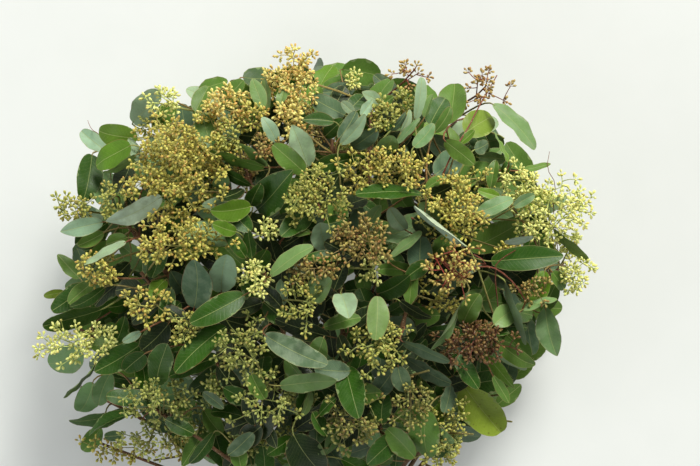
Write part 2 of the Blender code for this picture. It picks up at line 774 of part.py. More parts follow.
def hidden_leaf(index):
    """A maker of tries for a leaf below or behind the others, by rule.

    Every fourth stands near the rim, low down, the next ones further in and higher, and
    the last of four in the collar where the stems come together.
    """

    def make(rng, attempt):
        band = index % 4
        loose = attempt / TRIES
        angle = index * GOLDEN_ANGLE + rng.uniform(-0.5, 0.5) * (1 + 2 * loose)
        reach, low, high = HIDDEN_BANDS[band]
        reach += rng.uniform(-0.09, 0.06)
        out = Vector((math.cos(angle), math.sin(angle), 0.0))
        if band == 3:
            out.y = -0.75 - 0.35 * abs(out.y)
        middle = board(*CROWN_CENTRE, 0.0)
        radius = CROWN_RADIUS_UP if out.y > 0 else CROWN_RADIUS_DOWN
        middle += Vector((out.x * CROWN_RADIUS_X, out.y * radius, 0.0)) * reach
        swing = rng.uniform(-0.8, 0.8) * (1 + loose)
        angle = math.atan2(out.y, out.x) + swing
        ahead = Vector((math.cos(angle), math.sin(angle), rng.uniform(-0.5, 0.25)))
        length = rng.uniform(46.0, 66.0) * (1 - 0.4 * loose)
        half = ahead.normalized() * length / 2
        over = max(crown_radius(middle + half), crown_radius(middle - half)) - HIDDEN_RIM
        middle -= out * max(0.0, over) * CROWN_RADIUS_X
        middle.z = max(3.0 + abs(half.z), crown_height(middle) * rng.uniform(low, high))
        leaf = Leaf(middle - half, middle + half, length * rng.uniform(0.4, 0.52), rng)
        leaf.roll = rng.uniform(-0.8, 0.8)
        leaf.stops = (0.46,)
        return leaf

    return make


# ------------------------------------------------------------------ panicles
class Panicle:
    """A stalk that stands just off its stem, with branches of buds."""

    def __init__(self, number, spec):
        self.name = f"gumnut_panicle_{number:02d}"
        x, y, self.across, self.down, layer, self.branch_count = spec
        self.deep = 0.8 * min(self.across, self.down)
        self.centre = board(x, y, 0.0)
        self.centre.z = crown_height(self.centre) - layer * LAYER - 0.35 * self.deep
        self.umbels = []

    def stalk(self, host, bend):
        """Points of the stalk from its stem to the panicle's far end."""
        start = host.centre + host.normal * SEAT_GAP
        gap = self.centre - start
        end = self.centre + gap.normalized() * 0.3 * min(self.across, self.down, self.deep)
        reach = (end - start).length
        guide = start + host.normal * reach * 0.4 + host.ahead * reach * 0.1 + bend * reach
        nodes = 1 + (self.branch_count - 2) // 3
        first = 1.0 - min(0.6, 1.5 * min(self.across, self.down) / reach)
        stops = [0.0, 0.5 * first]
        for node in range(nodes):
            t = first + (0.97 - first) * node / nodes
            stops += [t, min(1.0, t + NODE_LENGTH / reach)]
        stops.append(1.0)
        points = []
        for t in stops:
            points.append(start * (1 - t) ** 2 + guide * 2 * t * (1 - t) + end * t * t)
        return points

    def settle(self, points):
        """Builds the stalk's skin and lists the faces that can carry a branch."""
        self.points = points
        self.growth = Growth()
        self.free = []
        last = self.growth.ring(points[0], points[1] - points[0], RACHIS_RADIUS, 3)
        self.growth.close(last[::-1])
        for i in range(1, len(points)):
            ahead = points[min(i + 1, len(points) - 1)] - points[i - 1]
            radius = RACHIS_RADIUS if i < len(points) - 1 else BRANCH_RADIUS
            ring = self.growth.ring(points[i], ahead, radius, 3)
            ring = self.growth.matched(last, ring)
            self.growth.loft(last, ring)
            if i > 2 and i % 2 == 1 and i < len(points) - 1:
                self.free += self.growth.faces[-6:]
            last = ring
        self.growth.close(last)
        self.end = self.growth.faces[-1]

    def target(self, normal, rng, loose):
        """Where a branch on a face with this normal reaches in the cluster."""
        ahead = (self.points[-1] - self.points[-2]).normalized()
        wild = Vector((rng.gauss(0, 1), rng.gauss(0, 1), rng.gauss(0, 1))).normalized()
        way = (normal + ahead * rng.uniform(0.0, 0.7) + wild * (0.3 + 0.7 * loose)).normalized()
        reach = rng.uniform(0.62, 0.8) * (1 - 0.35 * loose)
        spread = Vector((way.x * self.across, way.y * self.down, way.z * self.deep))
        return self.centre + spread * reach


class Umbel:
    """A branch of a panicle with buds round its end."""

    def __init__(self, growth, face, tip):
        self.face = face
        self.root = growth.middle(face)
        self.tip = tip
        self.ahead = (tip - self.root).normalized()
        self.neck = tip - self.ahead * NODE_LENGTH

    def tube(self, extra):
        start = self.root + self.ahead * 0.5
        return tube_solid([start, self.tip], [BRANCH_RADIUS + extra] * 2, 3)

    def attach(self, growth):
        """Grows the branch and lists the faces and directions of its buds."""
        growth.faces.remove(self.face)
        neck = growth.ring(self.neck, self.ahead, BRANCH_RADIUS, 3)
        neck = growth.matched(list(self.face), neck)
        growth.loft(self.face, neck)
        end = growth.ring(self.tip, self.ahead, BRANCH_RADIUS, 3)
        end = growth.matched(neck, end)
        growth.loft(neck, end)
        sides = growth.faces[-6:]
        growth.close(end)
        buds = [(growth.faces[-1], self.ahead)]
        for place, face in enumerate(sides):
            normal = growth.normal(face)
            swing = self.ahead.cross(normal) * (-0.5 if place % 2 else 0.5)
            lean = 0.85 if place % 2 else 0.15
            buds.append((face, (normal * 0.87 + swing + self.ahead * lean).normalized()))
        return buds


def bud_solid(foot, way, extra=0.0):
    """A bud as a solid of its own, for testing where it would stand."""
    start = foot + way * 0.6
    return spindle_solid(start, foot + way * (BUD_LENGTH + 2 * extra), BUD_RADIUS + extra)


def grow_bud(growth, face, way):
    """Grows a bud out of a face."""
    foot = growth.middle(face)
    growth.faces.remove(face)
    ring = growth.ring(foot + way * BUD_LENGTH * BUD_WIDEST, way, BUD_RADIUS, 3)
    ring = growth.matched(list(face), ring)
    growth.loft(face, ring)
    growth.point(ring, foot + way * BUD_LENGTH)


def place_stalk(space, hosts, panicle, seed):
    """Seats a panicle's stalk on the first stem face from which its way is clear."""
    rng = random.Random(seed)
    none = {host.axis.sprig: 0.0 for host in hosts}
    options = best_hosts(hosts, panicle.centre, Vector(), none, 24)
    for attempt in range(TRIES):
        host = options[attempt % len(options)]
        bend = Vector((rng.uniform(-1, 1), rng.uniform(-1, 1), rng.uniform(-1, 1)))
        points = panicle.stalk(host, bend * 0.25 * attempt / TRIES)
        fat = RACHIS_RADIUS + CLEARANCE
        if not space.clear(*tube_solid(points[1:], [fat] * (len(points) - 1), 3)):
            continue
        if not space.clear(*tube_solid(points[:2], [RACHIS_RADIUS, fat], 3)):
            continue
        panicle.settle(points)
        if crosses_itself(panicle.growth.verts, panicle.growth.faces):
            continue
        panicle.host = host
        hosts.remove(host)
        space.add(panicle.name + "_stalk", panicle.growth.verts, panicle.growth.faces)
        return True
    return False


def place_umbel(space, panicle, rng, first):
    """Grows one branch in the first clear place found for it and most of its buds."""
    stalk = panicle.name + "_stalk"
    for attempt in range(UMBEL_TRIES):
        face = panicle.end if first else rng.choice(panicle.free)
        normal = panicle.growth.normal(face)
        tip = panicle.target(normal, rng, attempt / UMBEL_TRIES)
        umbel = Umbel(panicle.growth, face, tip)
        reach = (tip - umbel.root).length
        if normal.dot(umbel.ahead) < 0.3 or reach < 6.0 or tip.z < 9.0:
            continue
        if not space.clear(*umbel.tube(CLEARANCE), skipped=stalk):
            continue
        trial = Growth()
        trial.verts, trial.faces = list(panicle.growth.verts), list(panicle.growth.faces)
        buds = umbel.attach(trial)
        good = []
        for face, way in buds:
            if space.clear(*bud_solid(trial.middle(face), way, CLEARANCE)):
                good.append((face, way))
        if len(good) < (UMBEL_BUDS if attempt < UMBEL_TRIES * 0.6 else 3):
            continue
        good = good[:UMBEL_BUDS]
        umbel.buds = [(trial.middle(face), way) for face, way in good]
        for bud in good:
            grow_bud(trial, *bud)
        if crosses_itself(trial.verts, trial.faces):
            continue
        if not space.clear(trial.verts, trial.faces, skipped=panicle.name):
            continue
        panicle.growth = trial
        space.add(panicle.name + "_branch", *umbel.tube(0.0))
        for foot, way in umbel.buds:
            space.add(panicle.name + "_bud", *bud_solid(foot, way))
        panicle.umbels.append(umbel)
        if not first:
            panicle.free.remove(umbel.face)
        return


# ------------------------------------------------------------------ layout
def layout():
    """Every stem, shoot, leaf and panicle in its place, the most seen first."""
    space = Space()
    stems = all_stems()
    hosts = []
    axes = []
    for stem in stems:
        space.add(stem.name, *stem.solid())
    for seed, stem in enumerate(stems):
        own = stem.hosts(stem.runs[-1] * BARE_SHARE, NODE_PITCH)
        shoots = place_shoots(space, stem, own, seed)
        axes += [stem] + shoots
        hosts += own
        for shoot in shoots:
            hosts += shoot.hosts(SHOOT_LENGTH * 0.4, NODE_PITCH)
    panicles = []
    for number, spec in enumerate(PANICLES, 1):
        panicle = Panicle(number, spec)
        if place_stalk(space, hosts, panicle, number):
            panicles.append(panicle)
        else:
            print("no room for", panicle.name)
    load = {stem.sprig: 0.0 for stem in stems}
    makers = [resting_leaf(spec) for spec in RESTING_LEAVES]
    seen = [spec for area in LEAVES.values() for spec in area]
    makers += [seen_leaf(spec) for spec in sorted(seen, key=lambda spec: spec[5])]
    makers = list(enumerate(makers))
    leaves = []
    for seed, make in makers:
        leaf = place_leaf(space, hosts, load, seed, make)
        if leaf:
            leaves.append(leaf)
        else:
            print("no room for leaf", seed)
    for seed, panicle in enumerate(panicles):
        rng = random.Random(seed)
        for index in range(panicle.branch_count):
            place_umbel(space, panicle, rng, index == 0)
    for index in range(HIDDEN_LEAVES):
        leaf = place_leaf(space, hosts, load, 1000 + index, hidden_leaf(index))
        if leaf:
            leaves.append(leaf)
    return axes, leaves, panicles


# ------------------------------------------------------------------ objects
def material(name, colour, roughness):
    made = bpy.data.materials.new(name)
    made.use_nodes = True
    shader = made.node_tree.nodes["Principled BSDF"]
    shader.inputs["Base Color"].default_value = (*colour, 1.0)
    shader.inputs["Roughness"].default_value = roughness
    shader.inputs["Metallic"].default_value = 0.0
    return made


def solid_object(name, growth, look):
    """An object from a closed skin in millimetres."""
    verts, faces = growth.trimmed()
    mesh = bpy.data.meshes.new(name)
    mesh.from_pydata([v * MM for v in verts], [], faces)
    mesh.update()
    mesh.materials.append(look)
    made = bpy.data.objects.new(name, mesh)
    bpy.context.scene.collection.objects.link(made)
    return made


def leafy_stem(sprig, axes, leaves):
    """The skin of one stem with its shoots, twigs and leaves."""
    growth = Growth()
    faces = {}
    own = [axis for axis in axes if axis.sprig == sprig]
    used = [leaf.host for leaf in leaves] + [axis.root for axis in axes if axis.root]
    for axis in own:
        axis.grow(growth, used, faces)
    for leaf in leaves:
        if leaf.host.axis.sprig == sprig:
            growth.blade(faces[leaf.host], leaf.twig_rings() + leaf.blade_rings())
    return growth


def main():
    for old in list(bpy.data.objects):
        bpy.data.objects.remove(old)
    axes, leaves, panicles = layout()
    for index, sprig in enumerate(sorted({axis.sprig for axis in axes})):
        shade = 0.9 + 0.03 * (index % 5)
        look = material(sprig + "_green", (0.10 * shade, 0.19 * shade, 0.05), 0.5)
        solid_object(sprig + "_leafy_stem", leafy_stem(sprig, axes, leaves), look)
    for index, panicle in enumerate(panicles):
        shade = 0.9 + 0.04 * (index % 4)
        look = material(panicle.name + "_yellow", (0.55 * shade, 0.50 * shade, 0.14), 0.45)
        solid_object(panicle.name, panicle.growth, look)


main()
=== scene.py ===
"""Looks of a cut bunch of seeded eucalyptus that lies on a surface, its fullest side up.

The first half works out where everything grows, by the same rules and random draws as the
solids, on a board in millimetres seen from above, x to the right and y downwards. The
second half builds fine leaves, twigs, stems and gum nuts in those places, adds small inner
leaves and more sprays of nuts between them, and sets materials, light and camera.
"""

import math
import random

import bpy
import numpy as np
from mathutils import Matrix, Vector, noise
from mathutils.bvhtree import BVHTree


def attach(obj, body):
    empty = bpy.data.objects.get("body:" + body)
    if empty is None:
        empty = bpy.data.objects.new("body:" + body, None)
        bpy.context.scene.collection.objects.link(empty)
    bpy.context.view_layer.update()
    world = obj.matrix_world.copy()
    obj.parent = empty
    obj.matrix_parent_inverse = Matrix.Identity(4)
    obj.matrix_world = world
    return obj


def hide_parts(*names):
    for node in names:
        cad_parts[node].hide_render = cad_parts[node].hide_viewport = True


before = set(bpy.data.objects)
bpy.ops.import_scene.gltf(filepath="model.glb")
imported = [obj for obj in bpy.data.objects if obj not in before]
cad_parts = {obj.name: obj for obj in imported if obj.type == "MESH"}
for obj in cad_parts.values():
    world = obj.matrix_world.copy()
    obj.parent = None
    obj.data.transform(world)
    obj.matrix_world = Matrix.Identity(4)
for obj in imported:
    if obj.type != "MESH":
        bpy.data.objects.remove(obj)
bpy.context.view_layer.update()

# ------------------------------------------------------------------ driving sizes (mm)
MM = 0.001
BOARD_CENTRE = (314.6, 373.4)
CROWN_CENTRE = (315.0, 262.0)
CROWN_RADIUS_X = 290.0
CROWN_RADIUS_UP = 230.0
CROWN_RADIUS_DOWN = 262.0
CROWN_TOP = 232.0
CROWN_RIM = 78.0
LAYER = 19.0

NECK = (352.0, 556.0)
NECK_PITCH = 6.4
NECK_COLUMNS = 7
CUT_Y = 688.0
CUT_STAGGER = 9.0
CUT_SPREAD = 1.5
BUNDLE_ROW_RISE = 6.4
STEM_RADIUS_CUT = 3.1
STEM_RADIUS_TIP = 1.5
STEM_TAPER = 1.3
STEM_SIDES = 4
STEM_STEPS = 6
# How far along, and how far aside, the point that a stem bends towards lies past the neck.
STEM_GUIDE = (0.34, 0.16)
STEM_RISE_END = 0.55
SHOOT_RADIUS = 1.3
SHOOT_TAPER = (1.1, 1.0, 0.8)
SHOOT_LENGTH = 58.0
SHOOT_KNEE = 9.0
SHOOT_LOWEST = 8.0
SHOOT_LIFT = 0.35
SHOOT_PLACES = (3, 7)
SHOOT_TRIES = 6
# Where a shoot's way is first tested, off its stem's face, and how wide that way is.
SHOOT_ROOM = (2.2, 2.0)
NODE_LENGTH = 3.2
NODE_PITCH = 17.0
BARE_SHARE = 0.42

BLADE_THICKNESS = 0.8
PETIOLE_HALF = 0.75
SMALL_BLADE = 38.0
BLADE_STOPS = (0.3, 0.68)
BLADE_STOP = (0.46,)
BLADE_LOWEST = 3.0
# Ranges of a leaf's arch and sideways bend, as shares of its length, its twist in radians
# and the power of its outline, the rounder the lower.
LEAF_BOW = (-0.03, 0.07)
LEAF_SICKLE = (-0.05, 0.05)
LEAF_TWIST = (-0.35, 0.35)
LEAF_FULLNESS = (0.62, 0.85)
LONG_TWIG = 60.0
# Cosines of the bends between a twig and its blade, and the reaches that rule a face out.
SHARPEST = -0.25
STRAIGHT = 0.4
NEAREST = 6.0
NEAREST_BENT = 16.0
FAR = 1e6
CLEARANCE = 0.4
TRIES = 120
# How far the last tries of a leaf may stray from its place: aside, up or down, and in length.
LOOSE_SHIFT = 9.0
LOOSE_RISE = 26.0
LOOSE_SHRINK = 0.35
# A leaf seen from above is longer than it looks, up to LONGEST times, to suit its width.
WIDEST = 0.5
LONGEST = 1.45
LEAF_SLOPE = (0.0, 0.22)
LEAF_ROLL = (0.1, 0.4)
LEAF_SINK = (0.0, 5.0)
# From this radius of the crown outwards, leaves that point outwards hang.
HANGING_RIM = 0.62
HANGING_SHARE = -0.6
HIDDEN_LEAVES = 78
HIDDEN_SEED = 1000
HIDDEN_LENGTH = (46.0, 66.0)
HIDDEN_WIDTH = (0.4, 0.52)
HIDDEN_ROLL = (-0.8, 0.8)
HIDDEN_RIM = 0.9
# Bands of hidden leaves: share of the crown's radius, then of its height, from and to.
HIDDEN_BANDS = ((0.84, 0.1, 0.6), (0.62, 0.25, 0.8), (0.36, 0.35, 0.85), (0.86, 0.15, 0.85))
LOAD_STEP = 2.0
# Kinds of hidden leaves, whose darker ones are painted shade inside the crown, and of those
# at the crown's far rim, which starts at RIM: lighter kinds, painted light on the side the
# light comes from.
HIDDEN_KINDS = "MMGDGMVDKVMD"
LIT_RIM_KINDS = "BPMBM"
RIM = 0.68
RIM_TOP = 150.0

BUD_LENGTH = 7.4
BUD_RADIUS = 2.05
BUD_WIDEST = 0.64
BRANCH_RADIUS = 0.8
RACHIS_RADIUS = 1.1
SEAT_GAP = 0.35
UMBEL_TRIES = 60
UMBEL_BUDS = 5
UMBEL_LOWEST = 9.0
STALK_OPTIONS = 24
GOLDEN_ANGLE = math.radians(137.508)

# Stem tips on the board, row by row. Height is each row's share of the crown's height.
STEM_ROWS = (
    (0.27, ((72, 392), (96, 262), (160, 142), (286, 92), (446, 98), (560, 205), (548, 338))),
    (0.56, ((84, 446), (62, 322), (108, 205), (222, 104), (372, 98), (488, 112), (568, 262))),
    (0.84, ((128, 392), (142, 272), (222, 168), (332, 140), (440, 178), (500, 322))),
)

# Leaves that lie flat on the surface and carry the crown: blade base, tip, width.
RESTING_LEAVES = (
    (232, 318, 190, 268, 27),
    (392, 330, 440, 286, 26),
    (322, 190, 300, 132, 27),
)

# Leaves of the upper side: blade base x, y, tip x, y, seen width, layer below the crown,
# and kind, as LEAF_KINDS gives them. The kinds also paint light and shade: leaves that lie in
# shade have darker kinds, and some that face away from the lamps have paler ones, painted
# light.
LEAVES = {
    "upper left": (
        (138, 138, 97, 131, 23, 0, "B"), (103, 150, 78, 130, 17, 1, "P"),
        (132, 146, 94, 165, 26, 0, "B"), (136, 155, 105, 172, 9, 0, "L"),
        (90, 154, 84, 200, 26, 1, "D"), (108, 172, 98, 205, 22, 2, "G"),
        (128, 165, 118, 195, 24, 2, "V"), (164, 197, 109, 224, 22, 0, "A"),
        (130, 121, 158, 92, 28, 1, "P"), (147, 163, 131, 136, 12, 0, "P"),
        (196, 112, 208, 87, 18, 1, "M"), (212, 148, 200, 113, 24, 1, "M"),
        (266, 168, 211, 147, 14, 0, "M"), (269, 166, 241, 143, 11, 0, "L"),
        (252, 186, 216, 166, 14, 1, "D"), (239, 199, 204, 206, 15, 1, "P"),
        (220, 195, 230, 178, 16, 1, "G"), (252, 207, 215, 212, 22, 0, "B"),
        (238, 232, 216, 224, 14, 0, "B"),
    ),
    "top": (
        (262, 140, 240, 136, 17, 2, "V"), (278, 143, 264, 119, 14, 0, "P"),
        (264, 108, 253, 80, 15, 0, "L"), (268, 110, 264, 79, 12, 1, "L"),
        (248, 105, 241, 93, 12, 2, "D"), (280, 107, 285, 87, 11, 0, "L"),
        (309, 168, 294, 128, 25, 0, "P"), (306, 174, 274, 146, 21, 0, "M"),
        (357, 159, 311, 170, 18, 1, "D"), (345, 116, 312, 98, 20, 1, "K"),
        (334, 123, 303, 121, 14, 0, "D"), (325, 137, 343, 121, 15, 1, "D"),
        (339, 140, 356, 113, 14, 0, "K"), (341, 145, 366, 116, 15, 0, "P"),
        (352, 148, 378, 130, 18, 1, "K"), (361, 117, 373, 101, 11, 0, "P"),
        (350, 110, 364, 95, 16, 1, "D"), (380, 100, 361, 93, 13, 1, "P"),
        (378, 106, 394, 96, 12, 1, "M"), (354, 114, 342, 103, 10, 0, "P"),
        (382, 152, 392, 138, 20, 0, "G"), (376, 158, 390, 153, 10, 0, "D"),
    ),
    "upper right": (
        (415, 120, 421, 78, 13, 0, "P"), (424, 118, 432, 95, 9, 0, "L"),
        (447, 125, 455, 82, 30, 1, "M"), (430, 125, 445, 99, 24, 1, "D"),
        (434, 133, 450, 108, 12, 0, "M"), (413, 148, 433, 125, 14, 0, "G"),
        (395, 145, 418, 118, 10, 0, "G"), (400, 134, 410, 111, 8, 0, "P"),
        (390, 132, 406, 113, 8, 0, "K"), (444, 142, 473, 165, 18, 0, "M"),
        (428, 172, 415, 148, 17, 1, "V"), (434, 180, 460, 156, 26, 1, "K"),
        (465, 133, 494, 115, 28, 1, "O"), (508, 163, 493, 132, 9, 0, "B"),
        (493, 104, 536, 149, 22, 0, "G"), (460, 144, 474, 131, 9, 0, "B"),
        (474, 150, 488, 143, 14, 1, "K"), (476, 213, 511, 198, 16, 0, "G"),
        (498, 197, 476, 191, 10, 0, "B"), (490, 188, 495, 160, 12, 1, "M"),
        (421, 195, 355, 197, 19, 0, "D"), (465, 246, 414, 205, 11, 0, "A"),
        (425, 190, 446, 178, 12, 1, "M"), (405, 230, 389, 208, 16, 1, "P"),
        (368, 228, 380, 206, 13, 1, "G"), (437, 225, 420, 203, 16, 1, "G"),
        (543, 212, 568, 196, 13, 1, "P"), (512, 207, 533, 195, 11, 0, "G"),
        (524, 170, 552, 164, 8, 1, "M"), (502, 178, 511, 158, 9, 1, "D"),
    ),
    "right": (
        (490, 261, 562, 256, 24, 0, "D"), (554, 229, 590, 258, 12, 0, "L"),
        (532, 237, 503, 243, 10, 0, "A"), (552, 271, 565, 289, 14, 1, "M"),
        (545, 271, 532, 307, 18, 1, "B"), (488, 268, 523, 290, 20, 1, "V"),
        (504, 282, 527, 343, 12, 0, "P"), (496, 320, 517, 305, 22, 0, "L"),
        (522, 309, 556, 299, 10, 0, "G"), (545, 308, 557, 356, 24, 0, "G"),
        (462, 323, 478, 292, 20, 0, "M"), (467, 290, 433, 349, 11, 0, "G"),
        (399, 300, 430, 318, 13, 1, "V"), (402, 340, 448, 360, 13, 0, "K"),
        (405, 357, 449, 384, 16, 1, "K"), (497, 340, 534, 366, 17, 0, "M"),
        (495, 349, 527, 368, 12, 1, "P"),
    ),
    "lower right": (
        (485, 354, 513, 388, 14, 0, "B"), (456, 354, 478, 387, 18, 0, "D"),
        (463, 384, 501, 432, 38, 1, "O"), (493, 376, 510, 403, 12, 1, "M"),
        (427, 409, 428, 457, 31, 0, "M"), (400, 433, 367, 464, 22, 1, "D"),
        (345, 365, 358, 414, 28, 0, "D"), (374, 395, 394, 367, 20, 1, "K"),
        (262, 425, 242, 444, 22, 1, "V"), (295, 432, 322, 470, 36, 1, "V"),
        (311, 390, 303, 415, 10, 1, "L"),
    ),
    "middle": (
        (377, 295, 375, 338, 22, 0, "L"), (372, 300, 407, 277, 24, 1, "D"),
        (418, 272, 377, 268, 16, 2, "M"), (390, 257, 422, 233, 12, 1, "G"),
        (341, 293, 349, 317, 24, 0, "P"), (310, 294, 334, 279, 26, 0, "G"),
        (272, 275, 313, 245, 17, 0, "L"), (266, 333, 328, 363, 24, 0, "K"),
        (281, 383, 337, 377, 22, 0, "L"), (330, 335, 276, 318, 22, 1, "V"),
        (196, 307, 199, 257, 30, 0, "K"), (223, 291, 230, 255, 27, 0, "P"),
        (246, 294, 194, 321, 24, 0, "D"), (228, 325, 178, 370, 25, 0, "D"),
        (220, 355, 171, 376, 20, 1, "D"), (247, 257, 228, 233, 14, 1, "D"),
        (270, 258, 252, 238, 20, 2, "V"), (341, 256, 305, 256, 13, 1, "D"),
        (326, 250, 320, 221, 24, 1, "P"), (252, 206, 262, 186, 17, 1, "D"),
        (258, 210, 292, 172, 34, 1, "D"), (285, 228, 240, 212, 22, 2, "V"),
        (312, 212, 283, 235, 22, 1, "D"), (311, 232, 275, 230, 12, 1, "M"),
    ),
    "left": (
        (80, 352, 44, 366, 30, 1, "G"), (100, 310, 41, 325, 22, 1, "D"),
        (87, 285, 51, 312, 22, 1, "D"), (94, 282, 69, 303, 16, 0, "M"),
        (106, 287, 72, 308, 13, 0, "D"), (60, 293, 39, 297, 9, 2, "O"),
        (80, 279, 58, 255, 15, 1, "M"), (128, 242, 87, 266, 14, 0, "P"),
        (104, 222, 61, 232, 18, 0, "P"), (104, 233, 78, 246, 14, 1, "M"),
        (128, 238, 106, 245, 16, 1, "B"), (158, 245, 148, 276, 22, 1, "D"),
        (166, 280, 153, 298, 16, 1, "B"), (143, 331, 125, 341, 9, 0, "P"),
        (181, 302, 145, 328, 22, 2, "D"), (140, 345, 95, 372, 24, 1, "D"),
        (146, 353, 125, 370, 20, 1, "D"), (108, 375, 95, 408, 20, 2, "G"),
        (92, 366, 58, 398, 9, 1, "B"), (90, 384, 75, 415, 24, 1, "G"),
    ),
    "lower left": (
        (158, 383, 172, 341, 26, 0, "D"), (157, 402, 107, 396, 19, 0, "D"),
        (122, 413, 64, 425, 20, 1, "D"), (137, 414, 87, 437, 15, 0, "D"),
        (95, 432, 76, 457, 18, 1, "M"), (119, 438, 100, 440, 11, 1, "D"),
        (204, 391, 225, 407, 11, 1, "K"), (204, 410, 222, 435, 18, 2, "M"),
        (214, 434, 190, 466, 14, 1, "D"), (245, 440, 222, 470, 20, 1, "V"),
        (205, 425, 180, 466, 20, 1, "M"),
    ),
}

# Panicles: centre x, y, radius across, radius down, layer below the crown, branches, tone,
# as NUT_TONES gives them, and how densely the nuts stand, of 10.
PANICLES = (
    (297, 82, 17, 30, 0, 3, "O", 7), (185, 166, 42, 42, 0, 7, "Y", 9),
    (162, 104, 14, 19, 0, 3, "P", 4), (226, 108, 20, 18, 0, 3, "O", 6),
    (230, 140, 14, 14, 0, 2, "G", 6), (252, 118, 16, 12, 0, 2, "Y", 6),
    (291, 116, 15, 18, 0, 3, "O", 6), (267, 152, 12, 13, 0, 2, "B", 6),
    (315, 195, 26, 23, 0, 4, "G", 8), (385, 116, 12, 17, 0, 3, "G", 6),
    (412, 72, 14, 14, 0, 2, "T", 2), (485, 86, 18, 16, 0, 3, "T", 3),
    (386, 170, 31, 18, 0, 4, "Y", 8), (455, 208, 28, 26, 0, 4, "Y", 7),
    (548, 210, 34, 26, 0, 4, "P", 6), (518, 180, 15, 16, 0, 2, "P", 5),
    (74, 206, 17, 12, 0, 2, "G", 6), (113, 200, 13, 12, 0, 2, "G", 6),
    (180, 241, 37, 18, 0, 5, "Y", 7), (100, 268, 17, 17, 0, 3, "Y", 7),
    (150, 305, 20, 17, 0, 3, "Y", 4), (77, 342, 32, 18, 0, 3, "P", 6),
    (190, 330, 15, 14, 0, 2, "G", 5), (257, 280, 16, 19, 0, 3, "P", 4),
    (243, 352, 26, 29, 0, 4, "S", 4), (262, 402, 30, 24, 0, 4, "S", 2),
    (165, 398, 34, 22, 0, 4, "S", 3), (150, 440, 30, 18, 0, 3, "S", 3),
    (98, 454, 25, 11, 0, 2, "Y", 3), (378, 342, 25, 19, 0, 3, "G", 5),
    (302, 300, 17, 20, 0, 2, "G", 4), (452, 270, 22, 22, 0, 3, "W", 4),
    (472, 342, 31, 18, 0, 4, "R", 8), (410, 402, 18, 25, 0, 3, "V", 4),
    (445, 434, 18, 32, 0, 3, "G", 5), (350, 418, 24, 24, 0, 3, "V", 4),
    (360, 240, 23, 20, 0, 3, "B", 6), (533, 290, 17, 14, 0, 2, "B", 5),
    (575, 276, 14, 16, 0, 2, "P", 6), (318, 268, 22, 12, 0, 2, "B", 5),
)


# ------------------------------------------------------------------ board and crown
def board(x, y, z):
    """A point of the board, in millimetres about the bunch's middle."""
    return Vector((x - BOARD_CENTRE[0], BOARD_CENTRE[1] - y, z))


def crown_radius(point):
    """0 at the crown's middle, 1 at its rim."""
    dx = (point.x - CROWN_CENTRE[0] + BOARD_CENTRE[0]) / CROWN_RADIUS_X
    dy = point.y - BOARD_CENTRE[1] + CROWN_CENTRE[1]
    dy = dy / (CROWN_RADIUS_UP if dy > 0 else CROWN_RADIUS_DOWN)
    return math.hypot(dx, dy)


def crown_height(point):
    """Height of the crown's upper side over a point."""
    dome = math.sqrt(max(0.0, 1.0 - crown_radius(point) ** 2))
    return CROWN_RIM + (CROWN_TOP - CROWN_RIM) * dome


def smooth(low, high, value):
    """A smooth step from 0 at low to 1 at high."""
    share = min(1.0, max(0.0, (value - low) / (high - low)))
    return share * share * (3.0 - 2.0 * share)


def cluster_place(x, y, across, down, layer):
    """Where a cluster's middle hangs below the crown, and how deep the cluster is."""
    deep = 0.8 * min(across, down)
    centre = board(x, y, 0.0)
    centre.z = crown_height(centre) - layer * LAYER - 0.35 * deep
    return centre, deep


def arc(start, guide, end, t):
    """A point on the curve that leaves start and reaches end by way of guide."""
    return start * (1 - t) ** 2 + guide * 2 * t * (1 - t) + end * t * t


def any_way(rng):
    """A unit vector in a random direction."""
    return Vector([rng.gauss(0, 1) for _ in range(3)]).normalized()


def axes_across(ahead):
    """Level and raised unit vectors square to a direction."""
    level = ahead.cross(Vector((0.0, 0.0, 1.0)))
    if level.length < 0.05 * ahead.length:
        level = Vector((1.0, 0.0, 0.0))
    level.normalize()
    return level, level.cross(ahead).normalized()


